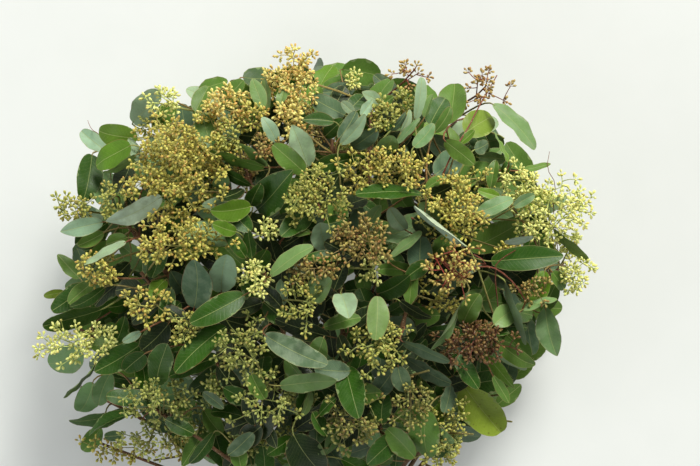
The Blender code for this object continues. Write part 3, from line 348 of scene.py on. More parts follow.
# ------------------------------------------------------------------ solids by rings
class Growth:
    """A closed skin of triangles, built ring by ring. Rings run anticlockwise."""

    def __init__(self):
        self.verts = []
        self.faces = []

    def add(self, points):
        start = len(self.verts)
        self.verts += points
        return list(range(start, len(self.verts)))

    def ring(self, centre, ahead, radius, sides):
        """A round ring square to a direction."""
        level, raised = axes_across(ahead)
        points = []
        for k in range(sides):
            angle = -math.tau * k / sides
            out = level * math.cos(angle) + raised * math.sin(angle)
            points.append(centre + out * radius)
        return self.add(points)

    def corners(self, centre, across, thick):
        """A four-cornered ring of a blade or twig, kept above the surface."""
        upside_down = thick.z < 0
        points = []
        sides = ((across, -thick), (-across, -thick), (-across, thick), (across, thick))
        for side, rise in sides:
            point = centre + side + rise
            raised = (rise is thick) != upside_down
            point.z = max(point.z, BLADE_THICKNESS if raised else 0.0)
            points.append(point)
        return self.add(points)

    def loft(self, before, after, skipped=()):
        """Side faces from ring to ring. A blade's two faces are split alike."""
        count = len(before)
        for k in range(count):
            if k in skipped:
                continue
            p, q = before[k], before[(k + 1) % count]
            r, s = after[(k + 1) % count], after[k]
            if count == 4 and k == 2:
                self.faces += [(p, q, s), (q, r, s)]
            else:
                self.faces += [(p, q, r), (p, r, s)]

    def matched(self, before, after):
        """The ring after, turned so that it starts opposite the ring before."""
        centre_before = self.middle(before)
        centre_after = self.middle(after)

        def mismatch(shift):
            total = 0.0
            for k, index in enumerate(before):
                arm = (self.verts[index] - centre_before).normalized()
                other = self.verts[after[(k + shift) % len(after)]] - centre_after
                total -= arm.dot(other.normalized())
            return total

        shift = min(range(len(after)), key=mismatch)
        return after[shift:] + after[:shift]

    def middle(self, ring):
        return sum((self.verts[i] for i in ring), Vector()) / len(ring)

    def normal(self, ring):
        a, b, c = (self.verts[i] for i in ring[:3])
        return (b - a).cross(c - a).normalized()

    def close(self, ring):
        for k in range(1, len(ring) - 1):
            self.faces.append((ring[0], ring[k], ring[k + 1]))

    def point(self, ring, tip):
        """Ends a ring in a point."""
        apex = self.add([tip])[0]
        for k in range(len(ring)):
            self.faces.append((ring[k], ring[(k + 1) % len(ring)], apex))

    def edge(self, ring, centre, thick):
        """Ends a four-cornered ring in an upright edge as high as the blade is thick."""
        corners = self.corners(centre, Vector(), thick)
        low, high = corners[0], corners[3]
        a, b, c, d = ring
        self.faces += [(a, b, low), (b, c, high), (b, high, low)]
        self.faces += [(c, d, high), (d, a, low), (d, low, high)]

    def blade(self, root, rings):
        """Grows a twig and blade out of a four-cornered face."""
        last = root
        for index, (centre, across, thick) in enumerate(rings[:-1]):
            ring = self.corners(centre, across, thick)
            if index == 0:
                shifted = self.matched(last, ring)
                turned = ring.index(shifted[0])
                last = last[-turned:] + last[:-turned] if turned else last
            self.loft(last, ring)
            last = ring
        self.edge(last, rings[-1][0], rings[-1][2])

    def trimmed(self):
        """Vertices and faces without the vertices that no face uses."""
        used = sorted({i for face in self.faces for i in face})
        place = {old: new for new, old in enumerate(used)}
        faces = [tuple(place[i] for i in face) for face in self.faces]
        return [self.verts[i] for i in used], faces


def tube_solid(points, radii, sides):
    """Vertices and faces of a closed tube along points."""
    growth = Growth()
    last = None
    for i, point in enumerate(points):
        ahead = points[min(i + 1, len(points) - 1)] - points[max(i - 1, 0)]
        ring = growth.ring(point, ahead, radii[i], sides)
        if last:
            growth.loft(last, growth.matched(last, ring))
            ring = growth.matched(last, ring)
        else:
            growth.close(ring[::-1])
        last = ring
    growth.close(last)
    return growth.verts, growth.faces


def spindle_solid(root, tip, radius):
    """A three-sided bud: a thin foot, its widest ring and a point."""
    growth = Growth()
    ring = growth.ring(root.lerp(tip, BUD_WIDEST), tip - root, radius, 3)
    growth.point(ring[::-1], root)
    growth.point(ring, tip)
    return growth.verts, growth.faces


def strip_solid(rings):
    """A closed strip of four-cornered rings that ends in an upright edge."""
    growth = Growth()
    first = growth.corners(*rings[0])
    growth.close(first[::-1])
    growth.blade(first, rings[1:])
    return growth.trimmed()


# ------------------------------------------------------------------ clearance
def crosses_itself(verts, faces):
    """Whether two triangles of a skin that share no corner meet."""
    tree = BVHTree.FromPolygons(verts, faces)
    for i, j in tree.overlap(tree):
        if i < j and not set(faces[i]) & set(faces[j]):
            return True
    return False


class Space:
    """The solids placed so far, for testing whether a new one is clear of them."""

    def __init__(self):
        self.solids = []

    @staticmethod
    def shape(verts, faces):
        """A solid as a tree of triangles, with its lowest and highest corners."""
        low = [min(v[i] for v in verts) for i in range(3)]
        high = [max(v[i] for v in verts) for i in range(3)]
        return BVHTree.FromPolygons(verts, faces), low, high

    def add(self, name, verts, faces):
        self.solids.append((name, *self.shape(verts, faces)))

    def clear(self, verts, faces, skipped=None):
        """Whether a solid meets none of the others, but for those whose name starts so."""
        tree, low, high = self.shape(verts, faces)
        for name, other, other_low, other_high in self.solids:
            if skipped and name.startswith(skipped):
                continue
            if any(low[i] > other_high[i] or high[i] < other_low[i] for i in range(3)):
                continue
            if tree.overlap(other):
                return False
        return True


# ------------------------------------------------------------------ stems and shoots
class Host:
    """A small face on the side of an axis, or on its end, from which something grows."""

    def __init__(self, axis, along, side):
        self.axis = axis
        self.along = along
        self.side = side
        point, self.ahead, radius = axis.at(along)
        if side is None:
            self.centre = point
            self.normal = self.ahead
            return
        level, raised = axes_across(self.ahead)
        angle = -math.tau * (side + 0.5) / axis.sides
        self.normal = level * math.cos(angle) + raised * math.sin(angle)
        self.centre = point + self.normal * radius * math.cos(math.pi / axis.sides)

    def corners(self):
        """The face's four corners, as the axis's own rings give them."""
        growth = Growth()
        sides = self.axis.sides
        if self.side is None:
            centre, ahead, radius = self.axis.at(self.along)
            growth.ring(centre, ahead, radius, sides)
            return growth.verts
        for end in (-0.5, 0.5):
            centre, ahead, radius = self.axis.at(self.along + end * NODE_LENGTH)
            growth.ring(centre, ahead, radius, sides)
        k, after = self.side, (self.side + 1) % self.axis.sides
        return [growth.verts[i] for i in (k, after, sides + after, sides + k)]


class Axis:
    """A stem or side shoot: its centre line, its radii and the faces that may carry more."""

    def __init__(self, sprig, name, points, radii, sides, root=None):
        self.sprig = sprig
        self.name = name
        self.points = points
        self.radii = radii
        self.sides = sides
        self.root = root
        self.runs = [0.0]
        for a, b in zip(points, points[1:]):
            self.runs.append(self.runs[-1] + (b - a).length)

    def at(self, along):
        """Centre, direction and radius at a distance along the axis."""
        i = 0
        while i < len(self.points) - 2 and self.runs[i + 1] < along:
            i += 1
        step = self.points[i + 1] - self.points[i]
        t = (along - self.runs[i]) / (self.runs[i + 1] - self.runs[i])
        radius = self.radii[i] + (self.radii[i + 1] - self.radii[i]) * t
        return self.points[i] + step * t, step.normalized(), radius

    def hosts(self, start, pitch):
        """Faces for twigs and shoots, in nodes clear of the axis's bends."""
        found = []
        along = start
        while along < self.runs[-1] - NODE_LENGTH:
            bend = min(abs(along - run) for run in self.runs)
            if bend < NODE_LENGTH:
                along += NODE_LENGTH
                continue
            found += [Host(self, along, side) for side in range(self.sides)]
            along += pitch
        if self.root:
            found.append(Host(self, self.runs[-1], None))
        return found

    def solid(self):
        return tube_solid(self.points, self.radii, self.sides)


def stem_axis(number, row, place, share, tip):
    """The centre line of one cut stem, from its cut end to its tip."""
    offset = (place - NECK_COLUMNS // 2) * NECK_PITCH
    low = STEM_RADIUS_CUT + row * BUNDLE_ROW_RISE
    stagger = CUT_STAGGER * ((place * 5 + row * 3) % 4)
    cut = board(NECK[0] + offset * CUT_SPREAD, CUT_Y - stagger, low)
    neck = board(NECK[0] + offset, NECK[1], low)
    end = board(*tip, 0.0)
    points = [cut]
    guide = neck.lerp(end, STEM_GUIDE[0])
    guide.x = neck.x + (end.x - neck.x) * STEM_GUIDE[1]
    for i in range(STEM_STEPS + 1):
        t = i / STEM_STEPS
        point = arc(neck, guide, end, t)
        rise = smooth(0.0, STEM_RISE_END, t)
        point.z = low * (1 - rise) + max(low, share * crown_height(point)) * rise
        points.append(point)
    radii = []
    for i in range(len(points)):
        share = (i / (len(points) - 1)) ** STEM_TAPER
        radii.append(STEM_RADIUS_CUT + (STEM_RADIUS_TIP - STEM_RADIUS_CUT) * share)
    name = f"sprig_{number:02d}"
    return Axis(name, name + "_stem", points, radii, STEM_SIDES)


def all_stems():
    stems = []
    for row, (share, tips) in enumerate(STEM_ROWS):
        for place, tip in enumerate(tips):
            stems.append(stem_axis(len(stems) + 1, row, place, share, tip))
    return stems


def shoot_axis(host, rng):
    """A side shoot that leaves its stem on the upper side and bends along it."""
    out = (host.normal + host.ahead * rng.uniform(0.5, 1.0)).normalized()
    start = host.centre
    length = SHOOT_LENGTH * rng.uniform(0.75, 1.15)
    knee = start + (host.normal + out).normalized() * SHOOT_KNEE
    end = knee + out * (length - SHOOT_KNEE)
    end.z = max(SHOOT_LOWEST, end.z)
    end.z += SHOOT_LIFT * (0.9 * crown_height(end) - end.z)
    stem = host.axis
    radii = [SHOOT_RADIUS * share for share in SHOOT_TAPER]
    name = f"{stem.name}_shoot_{host.along:.0f}_{host.side}"
    return Axis(stem.sprig, name, [start, knee, end], radii, 4, host)


def place_shoots(space, stem, hosts, seed):
    """Side shoots on the upper half of a stem, to alternate sides where they are clear."""
    rng = random.Random(seed)
    places = sorted({host.along for host in hosts})
    shoots = []
    for place in SHOOT_PLACES:
        if place >= len(places):
            continue
        options = [h for h in hosts if h.along == places[place] and h.normal.z > -0.2]
        rng.shuffle(options)
        for host in options * SHOOT_TRIES:
            shoot = shoot_axis(host, rng)
            bare = [shoot.points[0] + host.normal * SHOOT_ROOM[0]] + shoot.points[1:]
            if not space.clear(*tube_solid(bare, [SHOOT_ROOM[1]] * 3, 4)):
                continue
            if not space.clear(*shoot.solid(), skipped=stem.name):
                continue
            space.add(shoot.name, *shoot.solid())
            shoots.append(shoot)
            hosts.remove(host)
            break
    return shoots


# ------------------------------------------------------------------ leaves
class Leaf:
    """A blade from base to tip, and the twig that joins it to its stem."""

    def __init__(self, base, tip, width, rng):
        self.base = base
        self.tip = tip
        self.width = width
        self.length = (tip - base).length
        self.ahead = (tip - base).normalized()
        self.level = axes_across(self.ahead)[0]
        self.roll = 0.0
        self.bow = rng.uniform(*LEAF_BOW)
        self.sickle = rng.uniform(*LEAF_SICKLE)
        self.twist = rng.uniform(*LEAF_TWIST)
        self.fullness = rng.uniform(*LEAF_FULLNESS)
        self.stops = BLADE_STOPS if self.length > SMALL_BLADE else BLADE_STOP
        self.flat = False
        self.small = False

    def frame(self, t):
        """Unit vectors across the blade and out of its upper face, at t along it."""
        angle = self.roll + self.twist * (t - 0.4)
        raised = self.level.cross(self.ahead)
        across = self.level * math.cos(angle) + raised * math.sin(angle)
        return across, across.cross(self.ahead)

    def spine(self, t):
        """A point on the midrib, t from 0 at the base to 1 at the tip."""
        across, face = self.frame(0.4)
        arch = 4 * t * (1 - t) * self.length
        point = self.base.lerp(self.tip, t) + face * self.bow * arch
        return point + across * self.sickle * arch

    def half_width(self, t):
        """Half the blade's width at t."""
        return 0.5 * self.width * max(0.0, math.sin(math.pi * t ** 0.88)) ** self.fullness

    def join(self, host):
        self.host = host
        self.root = host.centre
        self.reach = (self.base - self.root).length
        self.bend = self.ahead.dot((self.base - self.root) / self.reach)

    def twig(self, u):
        """A point on the twig, u from 0 at its host to 1 at the blade's base."""
        out = (self.host.normal * 0.8 + self.host.ahead * 0.3) * self.reach * 0.35
        back = (self.spine(0.08) - self.base).normalized() * min(12.0, self.reach * 0.35)
        v = 1 - u
        bend = (self.root + out) * 3 * u * v * v + (self.base - back) * 3 * u * u * v
        return self.root * v ** 3 + bend + self.base * u ** 3

    def twig_rings(self, extra=0.0):
        """Rings of the twig from just off its host to the blade's base."""
        half = PETIOLE_HALF + extra
        across, face = self.frame(0.0)
        rings = [(self.base, across * half, face * (BLADE_THICKNESS / 2 + extra))]
        if self.reach > LONG_TWIG or self.bend < STRAIGHT:
            step = (self.twig(0.6) - self.twig(0.4)).normalized()
            rings.insert(0, self.twig_ring(0.5, step, across, half))
        return rings

    def twig_ring(self, u, step, across, half):
        """A square ring at u along the twig, where the twig runs along step."""
        across = (across - step * across.dot(step)).normalized()
        return self.twig(u), across * half, across.cross(step) * half

    def foot_ring(self, extra):
        """A ring just off the host, from which the twig's own clearance is tested."""
        share = min(0.3, 2.3 / self.reach)
        step = (self.twig(share + 0.05) - self.twig(share)).normalized()
        across = self.twig_rings()[0][1].normalized()
        return self.twig_ring(share, step, across, PETIOLE_HALF + extra)

    def blade_rings(self, extra=0.0):
        """Rings of the blade past its base, the last one at its tip."""
        thick = BLADE_THICKNESS / 2 + extra
        rings = []
        for t in self.stops:
            across, face = self.frame(t)
            half = self.half_width(t) * 1.05 + extra
            rings.append((self.spine(t), across * half, face * thick))
        rings.append((self.tip, Vector(), self.frame(1.0)[1] * thick))
        return rings

    def strip(self):
        """The leaf as one closed solid from its host's corners."""
        growth = Growth()
        root = growth.add(self.host.corners())
        growth.close(root[::-1])
        growth.blade(root, self.twig_rings() + self.blade_rings())
        return growth.trimmed()

    def solids(self, extra=0.0):
        """The twig and the blade as two closed solids, for testing."""
        twig = [self.foot_ring(extra)] + self.twig_rings(extra)
        return strip_solid(twig), strip_solid([twig[-1]] + self.blade_rings(extra))


def tilted(spec, rng, attempt):
    """Blade base and tip in space, real width and roll, from a leaf as seen from above."""
    x0, y0, x1, y1, seen, layer = spec[:6]
    loose = attempt / TRIES
    shift = Vector((rng.uniform(-1, 1), rng.uniform(-1, 1), 0.0)) * LOOSE_SHIFT * loose
    shrink = 1.0 - LOOSE_SHRINK * max(0.0, loose - 0.5)
    base = board(x0, y0, 0.0) + shift
    tip = board(x1, y1, 0.0) + shift
    tip = base.lerp(tip, shrink)
    middle = (base + tip) / 2
    flat = (tip - base).length
    full = min(max(flat, seen * shrink / WIDEST), flat * LONGEST)
    rise = math.sqrt(max(0.0, full * full - flat * flat))
    rise += flat * math.tan(rng.uniform(*LEAF_SLOPE) + 0.5 * loose * rng.uniform(-1, 1))
    outward = (middle - board(*CROWN_CENTRE, 0.0)).normalized().dot((tip - base).normalized())
    if outward > 0.1 and crown_radius(middle) > HANGING_RIM:
        rise = HANGING_SHARE * rise
    height = crown_height(middle) - layer * LAYER - rng.uniform(*LEAF_SINK)
    height += LOOSE_RISE * loose * rng.uniform(-1.0, 0.35)
    base.z = max(BLADE_LOWEST, height - rise / 2)
    tip.z = max(BLADE_LOWEST, height + rise / 2)
    real = max(seen, min(0.4 * full, 24.0)) * shrink
    roll = math.acos(min(1.0, seen * shrink / real))
    roll += rng.uniform(*LEAF_ROLL) + 0.5 * loose * rng.uniform(-1, 1)
    roll *= rng.choice((-1, 1))
    return base, tip, real, roll


def best_hosts(hosts, point, ahead, load, count):
    """The free faces that best carry something at a point, the best first."""

    def cost(host):
        gap = point - host.centre
        reach = gap.length
        facing = gap.dot(host.normal) / reach
        bend = gap.dot(ahead) / reach
        if reach < NEAREST or facing < 0.25:
            return FAR
        if ahead.length and (bend < SHARPEST or (reach < NEAREST_BENT and bend < STRAIGHT)):
            return FAR
        price = reach * (1.4 - 0.2 * facing - 0.2 * bend) + load[host.axis.sprig]
        return price - 0.5 * min(0.0, gap.z)

    return [host for host in sorted(hosts, key=cost)[:count] if cost(host) < FAR]


def place_leaf(space, hosts, load, seed, make):
    """The first try of a leaf that is clear of everything placed so far, or None."""
    rng = random.Random(seed)
    for attempt in range(TRIES):
        leaf = make(rng, attempt)
        options = best_hosts(hosts, leaf.base, leaf.ahead, load, 3 + attempt // 8)
        if not options:
            continue
        leaf.join(options[attempt % len(options)])
        twig, blade = leaf.solids(CLEARANCE)
        if not (space.clear(*blade) and space.clear(*twig)):
            continue
        strip = leaf.strip()
        if crosses_itself(*strip) or not space.clear(*strip, skipped=leaf.host.axis.name):
            continue
        space.add(f"leaf_{seed}", *strip)
        hosts.remove(leaf.host)
        load[leaf.host.axis.sprig] += LOAD_STEP
        return leaf
    return None


def seen_leaf(spec):
    """A maker of tries for a leaf of the upper side."""

    def make(rng, attempt):
        base, tip, width, roll = tilted(spec, rng, attempt)
        leaf = Leaf(base, tip, width, rng)
        leaf.roll = roll
        leaf.kind = spec[6]
        return leaf

    return make


def resting_leaf(spec):
    """A maker of a flat leaf on the surface."""
    x0, y0, x1, y1, width = spec

    def make(rng, attempt):
        half = BLADE_THICKNESS / 2
        leaf = Leaf(board(x0, y0, half), board(x1, y1, half), width, rng)
        leaf.bow = 0.0
        leaf.twist = 0.0
        leaf.kind = "M"
        leaf.flat = True
        return leaf

    return make


def hidden_leaf(index):
    """A maker of tries for a leaf below or behind the others, by rule.

    Every fourth stands near the rim, low down, the next ones further in and higher, and
    the last of four in the collar where the stems come together.
    """

    def make(rng, attempt):
        band = index % 4
        loose = attempt / TRIES
        angle = index * GOLDEN_ANGLE + rng.uniform(-0.5, 0.5) * (1 + 2 * loose)
        reach, low, high = HIDDEN_BANDS[band]
        reach += rng.uniform(-0.09, 0.06)
        out = Vector((math.cos(angle), math.sin(angle), 0.0))
        if band == 3:
            out.y = -0.75 - 0.35 * abs(out.y)
        middle = board(*CROWN_CENTRE, 0.0)
        radius = CROWN_RADIUS_UP if out.y > 0 else CROWN_RADIUS_DOWN
        middle += Vector((out.x * CROWN_RADIUS_X, out.y * radius, 0.0)) * reach
        swing = rng.uniform(-0.8, 0.8) * (1 + loose)
        angle = math.atan2(out.y, out.x) + swing
        ahead = Vector((math.cos(angle), math.sin(angle), rng.uniform(-0.5, 0.25)))
        length = rng.uniform(*HIDDEN_LENGTH) * (1 - 0.4 * loose)
        half = ahead.normalized() * length / 2
        over = max(crown_radius(middle + half), crown_radius(middle - half)) - HIDDEN_RIM
        middle -= out * max(0.0, over) * CROWN_RADIUS_X
        height = crown_height(middle) * rng.uniform(low, high)
        middle.z = max(BLADE_LOWEST + abs(half.z), height)
        width = length * rng.uniform(*HIDDEN_WIDTH)
        leaf = Leaf(middle - half, middle + half, width, rng)
        leaf.roll = rng.uniform(*HIDDEN_ROLL)
        leaf.stops = BLADE_STOP
        # Leaves at the far rim take lighter kinds, painted light where the lamps shine in.
        at_rim = crown_radius(middle) > RIM and middle.y > RIM_TOP
        kinds = LIT_RIM_KINDS if at_rim else HIDDEN_KINDS
        leaf.kind = kinds[index % len(kinds)]
        return leaf

    return make


# ------------------------------------------------------------------ panicles
class Panicle:
    """A stalk that stands just off its stem, with branches of buds."""

    def __init__(self, number, spec):
        self.name = f"gumnut_panicle_{number:02d}"
        x, y, self.across, self.down, layer, self.branch_count, self.tone, self.density = spec
        self.centre, self.deep = cluster_place(x, y, self.across, self.down, layer)
        self.umbels = []

    def stalk(self, host, bend):
        """Points of the stalk from its stem to the panicle's far end."""
        start = host.centre + host.normal * SEAT_GAP
        gap = self.centre - start
        end = self.centre + gap.normalized() * 0.3 * min(self.across, self.down, self.deep)
        reach = (end - start).length
        guide = start + host.normal * reach * 0.4 + host.ahead * reach * 0.1 + bend * reach
        nodes = 1 + (self.branch_count - 2) // 3
        first = 1.0 - min(0.6, 1.5 * min(self.across, self.down) / reach)
        stops = [0.0, 0.5 * first]
        for node in range(nodes):
            t = first + (0.97 - first) * node / nodes
            stops += [t, min(1.0, t + NODE_LENGTH / reach)]
        stops.append(1.0)
        return [arc(start, guide, end, t) for t in stops]

    def settle(self, points):
        """Builds the stalk's skin and lists the faces that can carry a branch."""
        self.points = points
        self.growth = Growth()
        self.free = []
        last = self.growth.ring(points[0], points[1] - points[0], RACHIS_RADIUS, 3)
        self.growth.close(last[::-1])
        for i in range(1, len(points)):
            ahead = points[min(i + 1, len(points) - 1)] - points[i - 1]
            radius = RACHIS_RADIUS if i < len(points) - 1 else BRANCH_RADIUS
            ring = self.growth.ring(points[i], ahead, radius, 3)
            ring = self.growth.matched(last, ring)
            self.growth.loft(last, ring)
            if i > 2 and i % 2 == 1 and i < len(points) - 1:
                self.free += self.growth.faces[-6:]
            last = ring
        self.growth.close(last)
        self.end = self.growth.faces[-1]

    def target(self, normal, rng, loose):
        """Where a branch on a face with this normal reaches in the cluster."""
        ahead = (self.points[-1] - self.points[-2]).normalized()
        wild = any_way(rng)
        way = (normal + ahead * rng.uniform(0.0, 0.7) + wild * (0.3 + 0.7 * loose)).normalized()
        reach = rng.uniform(0.62, 0.8) * (1 - 0.35 * loose)
        spread = Vector((way.x * self.across, way.y * self.down, way.z * self.deep))
        return self.centre + spread * reach


class Umbel:
    """A branch of a panicle with buds round its end."""

    def __init__(self, growth, face, tip):
        self.face = face
        self.root = growth.middle(face)
        self.tip = tip
        self.ahead = (tip - self.root).normalized()
        self.neck = tip - self.ahead * NODE_LENGTH

    def tube(self, extra):
        start = self.root + self.ahead * 0.5
        return tube_solid([start, self.tip], [BRANCH_RADIUS + extra] * 2, 3)

    def attach(self, growth):
        """Grows the branch and lists the faces and directions of its buds."""
        growth.faces.remove(self.face)
        neck = growth.ring(self.neck, self.ahead, BRANCH_RADIUS, 3)
        neck = growth.matched(list(self.face), neck)
        growth.loft(self.face, neck)
        end = growth.ring(self.tip, self.ahead, BRANCH_RADIUS, 3)
        end = growth.matched(neck, end)
        growth.loft(neck, end)
        sides = growth.faces[-6:]
        growth.close(end)
        buds = [(growth.faces[-1], self.ahead)]
        for place, face in enumerate(sides):
            normal = growth.normal(face)
            swing = self.ahead.cross(normal) * (-0.5 if place % 2 else 0.5)
            lean = 0.85 if place % 2 else 0.15
            buds.append((face, (normal * 0.87 + swing + self.ahead * lean).normalized()))
        return buds


def bud_solid(foot, way, extra=0.0):
    """A bud as a solid of its own, for testing where it would stand."""
    start = foot + way * 0.6
    return spindle_solid(start, foot + way * (BUD_LENGTH + 2 * extra), BUD_RADIUS + extra)


def grow_bud(growth, face, way):
    """Grows a bud out of a face."""
    foot = growth.middle(face)
    growth.faces.remove(face)
    ring = growth.ring(foot + way * BUD_LENGTH * BUD_WIDEST, way, BUD_RADIUS, 3)
    ring = growth.matched(list(face), ring)
    growth.loft(face, ring)
    growth.point(ring, foot + way * BUD_LENGTH)


def place_stalk(space, hosts, panicle, seed):
    """Seats a panicle's stalk on the first stem face from which its way is clear."""
    rng = random.Random(seed)
    none = {host.axis.sprig: 0.0 for host in hosts}
    options = best_hosts(hosts, panicle.centre, Vector(), none, STALK_OPTIONS)
    for attempt in range(TRIES):
        host = options[attempt % len(options)]
        bend = Vector([rng.uniform(-1, 1) for _ in range(3)])
        points = panicle.stalk(host, bend * 0.25 * attempt / TRIES)
        fat = RACHIS_RADIUS + CLEARANCE
        if not space.clear(*tube_solid(points[1:], [fat] * (len(points) - 1), 3)):
            continue
        if not space.clear(*tube_solid(points[:2], [RACHIS_RADIUS, fat], 3)):
            continue
        panicle.settle(points)
        if crosses_itself(panicle.growth.verts, panicle.growth.faces):
            continue
        panicle.host = host
        hosts.remove(host)
        space.add(panicle.name + "_stalk", panicle.growth.verts, panicle.growth.faces)
        return True
    return False


def place_umbel(space, panicle, rng, first):
    """Grows one branch in the first clear place found for it and most of its buds."""
    stalk = panicle.name + "_stalk"
    for attempt in range(UMBEL_TRIES):
        face = panicle.end if first else rng.choice(panicle.free)
        normal = panicle.growth.normal(face)
        tip = panicle.target(normal, rng, attempt / UMBEL_TRIES)
        umbel = Umbel(panicle.growth, face, tip)
        reach = (tip - umbel.root).length
        if normal.dot(umbel.ahead) < 0.3 or reach < NEAREST or tip.z < UMBEL_LOWEST:
            continue
        if not space.clear(*umbel.tube(CLEARANCE), skipped=stalk):
            continue
        trial = Growth()
        trial.verts, trial.faces = list(panicle.growth.verts), list(panicle.growth.faces)
        buds = umbel.attach(trial)
        good = []
        for face, way in buds:
            if space.clear(*bud_solid(trial.middle(face), way, CLEARANCE)):
                good.append((face, way))
        if len(good) < (UMBEL_BUDS if attempt < UMBEL_TRIES * 0.6 else 3):
            continue
        good = good[:UMBEL_BUDS]
        umbel.buds = [(trial.middle(face), way) for face, way in good]
        for bud in good:
            grow_bud(trial, *bud)
        if crosses_itself(trial.verts, trial.faces):
            continue
        if not space.clear(trial.verts, trial.faces, skipped=panicle.name):
            continue
        panicle.growth = trial
        space.add(panicle.name + "_branch", *umbel.tube(0.0))
        for foot, way in umbel.buds:
            space.add(panicle.name + "_bud", *bud_solid(foot, way))
        panicle.umbels.append(umbel)
        if not first:
            panicle.free.remove(umbel.face)
        return


# ------------------------------------------------------------------ layout
def layout():
    """Every stem, shoot, leaf and panicle in its place, the most seen first."""
    space = Space()
    stems = all_stems()
    hosts = []
    axes = []
    for stem in stems:
        space.add(stem.name, *stem.solid())
    for seed, stem in enumerate(stems):
        own = stem.hosts(stem.runs[-1] * BARE_SHARE, NODE_PITCH)
        shoots = place_shoots(space, stem, own, seed)
        axes += [stem] + shoots
        hosts += own
        for shoot in shoots:
            hosts += shoot.hosts(SHOOT_LENGTH * 0.4, NODE_PITCH)
    panicles = []
    for number, spec in enumerate(PANICLES, 1):
        panicle = Panicle(number, spec)
        if place_stalk(space, hosts, panicle, number):
            panicles.append(panicle)
    load = {stem.sprig: 0.0 for stem in stems}
    makers = [resting_leaf(spec) for spec in RESTING_LEAVES]
    seen = [spec for area in LEAVES.values() for spec in area]
    makers += [seen_leaf(spec) for spec in sorted(seen, key=lambda spec: spec[5])]
    leaves = []
    for seed, make in enumerate(makers):
        leaves.append(place_leaf(space, hosts, load, seed, make))
    for seed, panicle in enumerate(panicles):
        rng = random.Random(seed)
        for index in range(panicle.branch_count):
            place_umbel(space, panicle, rng, index == 0)
    for index in range(HIDDEN_LEAVES):
        maker = hidden_leaf(index)
        leaves.append(place_leaf(space, hosts, load, HIDDEN_SEED + index, maker))
    return axes, [leaf for leaf in leaves if leaf], panicles, space


# ------------------------------------------------------------------ more leaves and sprays
UP = Vector((0.0, 0.0, 1.0))
DOWN = Vector((0.0, 0.0, -1.0))
INNER_SEED = 77
SITE_PITCH = 6.0
# Small leaves that close the crown: a grid of spots, and their share of its height.
FILL_PITCH = 8.0
FILL_RANGE = (271, 311)
FILL_TRIES = 10
FILL_REACH = (0.12, 0.72)
FILL_LONGER = 1.1
# Small leaves along stems and shoots.
INNER_LEAVES = 170
INNER_TRIES = 3500
INNER_GAP = 0.1
INNER_LENGTH = (27.0, 42.0)
INNER_WIDTH = (0.48, 0.66)
# Kinds of small leaves: inside the crown near-black and dark greens, painted shade, and mostly
# lighter ones past RIM, where more light reaches.
SHADED_INNER_KINDS = "VVDVDVKVDM"
INNER_RIM_KINDS = "DMKMGMDMKB"
INNER_RIM = 0.86
BELOW_CROWN = 6.0
LOWEST_LEAF = 6.0
# Small leaves over stems that would lie bare.
VEIL_PITCH = 9.0
VEIL_TRIES = 8
VEIL_RIM = 0.78
VEIL_RISE = (5.0, 16.0)
# Sprays: board per spray, reach in their cluster, the room that sprays and nuts keep.
SPRAY_AREA = 34.0
SPRAY_REACH = (0.1, 1.0)
SPRAY_WIDER = 1.32
SPRAY_ROOM = 8.3
SPRAY_PACKING = 0.35
SPRAY_RAGGED = 0.55
SPRAY_LOWEST = 9.0
SPRAY_ROOTS = 8
SPRAY_NUTS = (5, 6, 7, 8)
BUD_ROOM = 2.5
LEAF_ROOM = 1.4
PEDICEL = 3.0
# How densely the nuts of free clusters stand, of 10, and from where down they stand loose.
DENSITY = 7
LOOSE = 4
LOOSE_BELOW = 350

# Clusters beyond the panicles: place on the board, half width, half height, depth and tone.
CLUSTERS = (
    (150, 122, 16, 13, 2, "G"), (270, 84, 15, 17, 2, "O"), (320, 132, 16, 14, 2, "B"),
    (346, 151, 15, 15, 3, "G"), (402, 106, 16, 16, 1, "G"), (353, 83, 12, 16, 3, "P"),
    (580, 200, 16, 14, 2, "P"), (480, 178, 18, 15, 2, "Y"), (505, 250, 18, 14, 2, "Y"),
    (268, 232, 14, 11, 1, "P"), (340, 420, 17, 22, 3, "S"), (250, 436, 26, 22, 2, "S"),
    (200, 425, 22, 16, 2, "S"), (130, 452, 28, 13, 2, "Y"), (372, 268, 13, 16, 1, "P"),
    (415, 280, 14, 12, 2, "Y"), (440, 302, 22, 14, 2, "Y"), (303, 400, 12, 14, 2, "S"),
    (572, 245, 14, 17, 1, "P"), (436, 250, 20, 14, 2, "Y"), (246, 165, 13, 13, 1, "B"),
    (187, 362, 16, 12, 2, "S"), (215, 388, 20, 18, 1, "S"), (288, 440, 18, 22, 2, "S"),
    (182, 452, 24, 13, 2, "Y"), (398, 440, 18, 18, 2, "S"), (360, 185, 12, 10, 1, "Y"),
)


# Bare twigs: points on the board from the root outwards, then their radii.
BARE_TWIGS = (
    (((108, 143), (97, 133), (88, 128), (82, 118)), (0.5, 0.3)),
    (((552, 204), (557, 184), (547, 168), (551, 151)), (0.5, 0.3)),
    (((528, 306), (514, 284), (497, 269), (482, 265), (468, 270)), (0.95, 0.7)),
    (((492, 267), (500, 258), (514, 250)), (0.8, 0.55)),
    (((486, 266), (478, 256), (462, 252)), (0.7, 0.5)),
    (((452, 152), (468, 128), (478, 108), (488, 92), (500, 72)), (1.0, 0.6)),
)
TWIG_DEPTH = 5.0
# Radii along the stalk of a free cluster, and how far it arches up.
FREE_STALK = (1.1, 0.7)
STALK_ARCH = 6.0


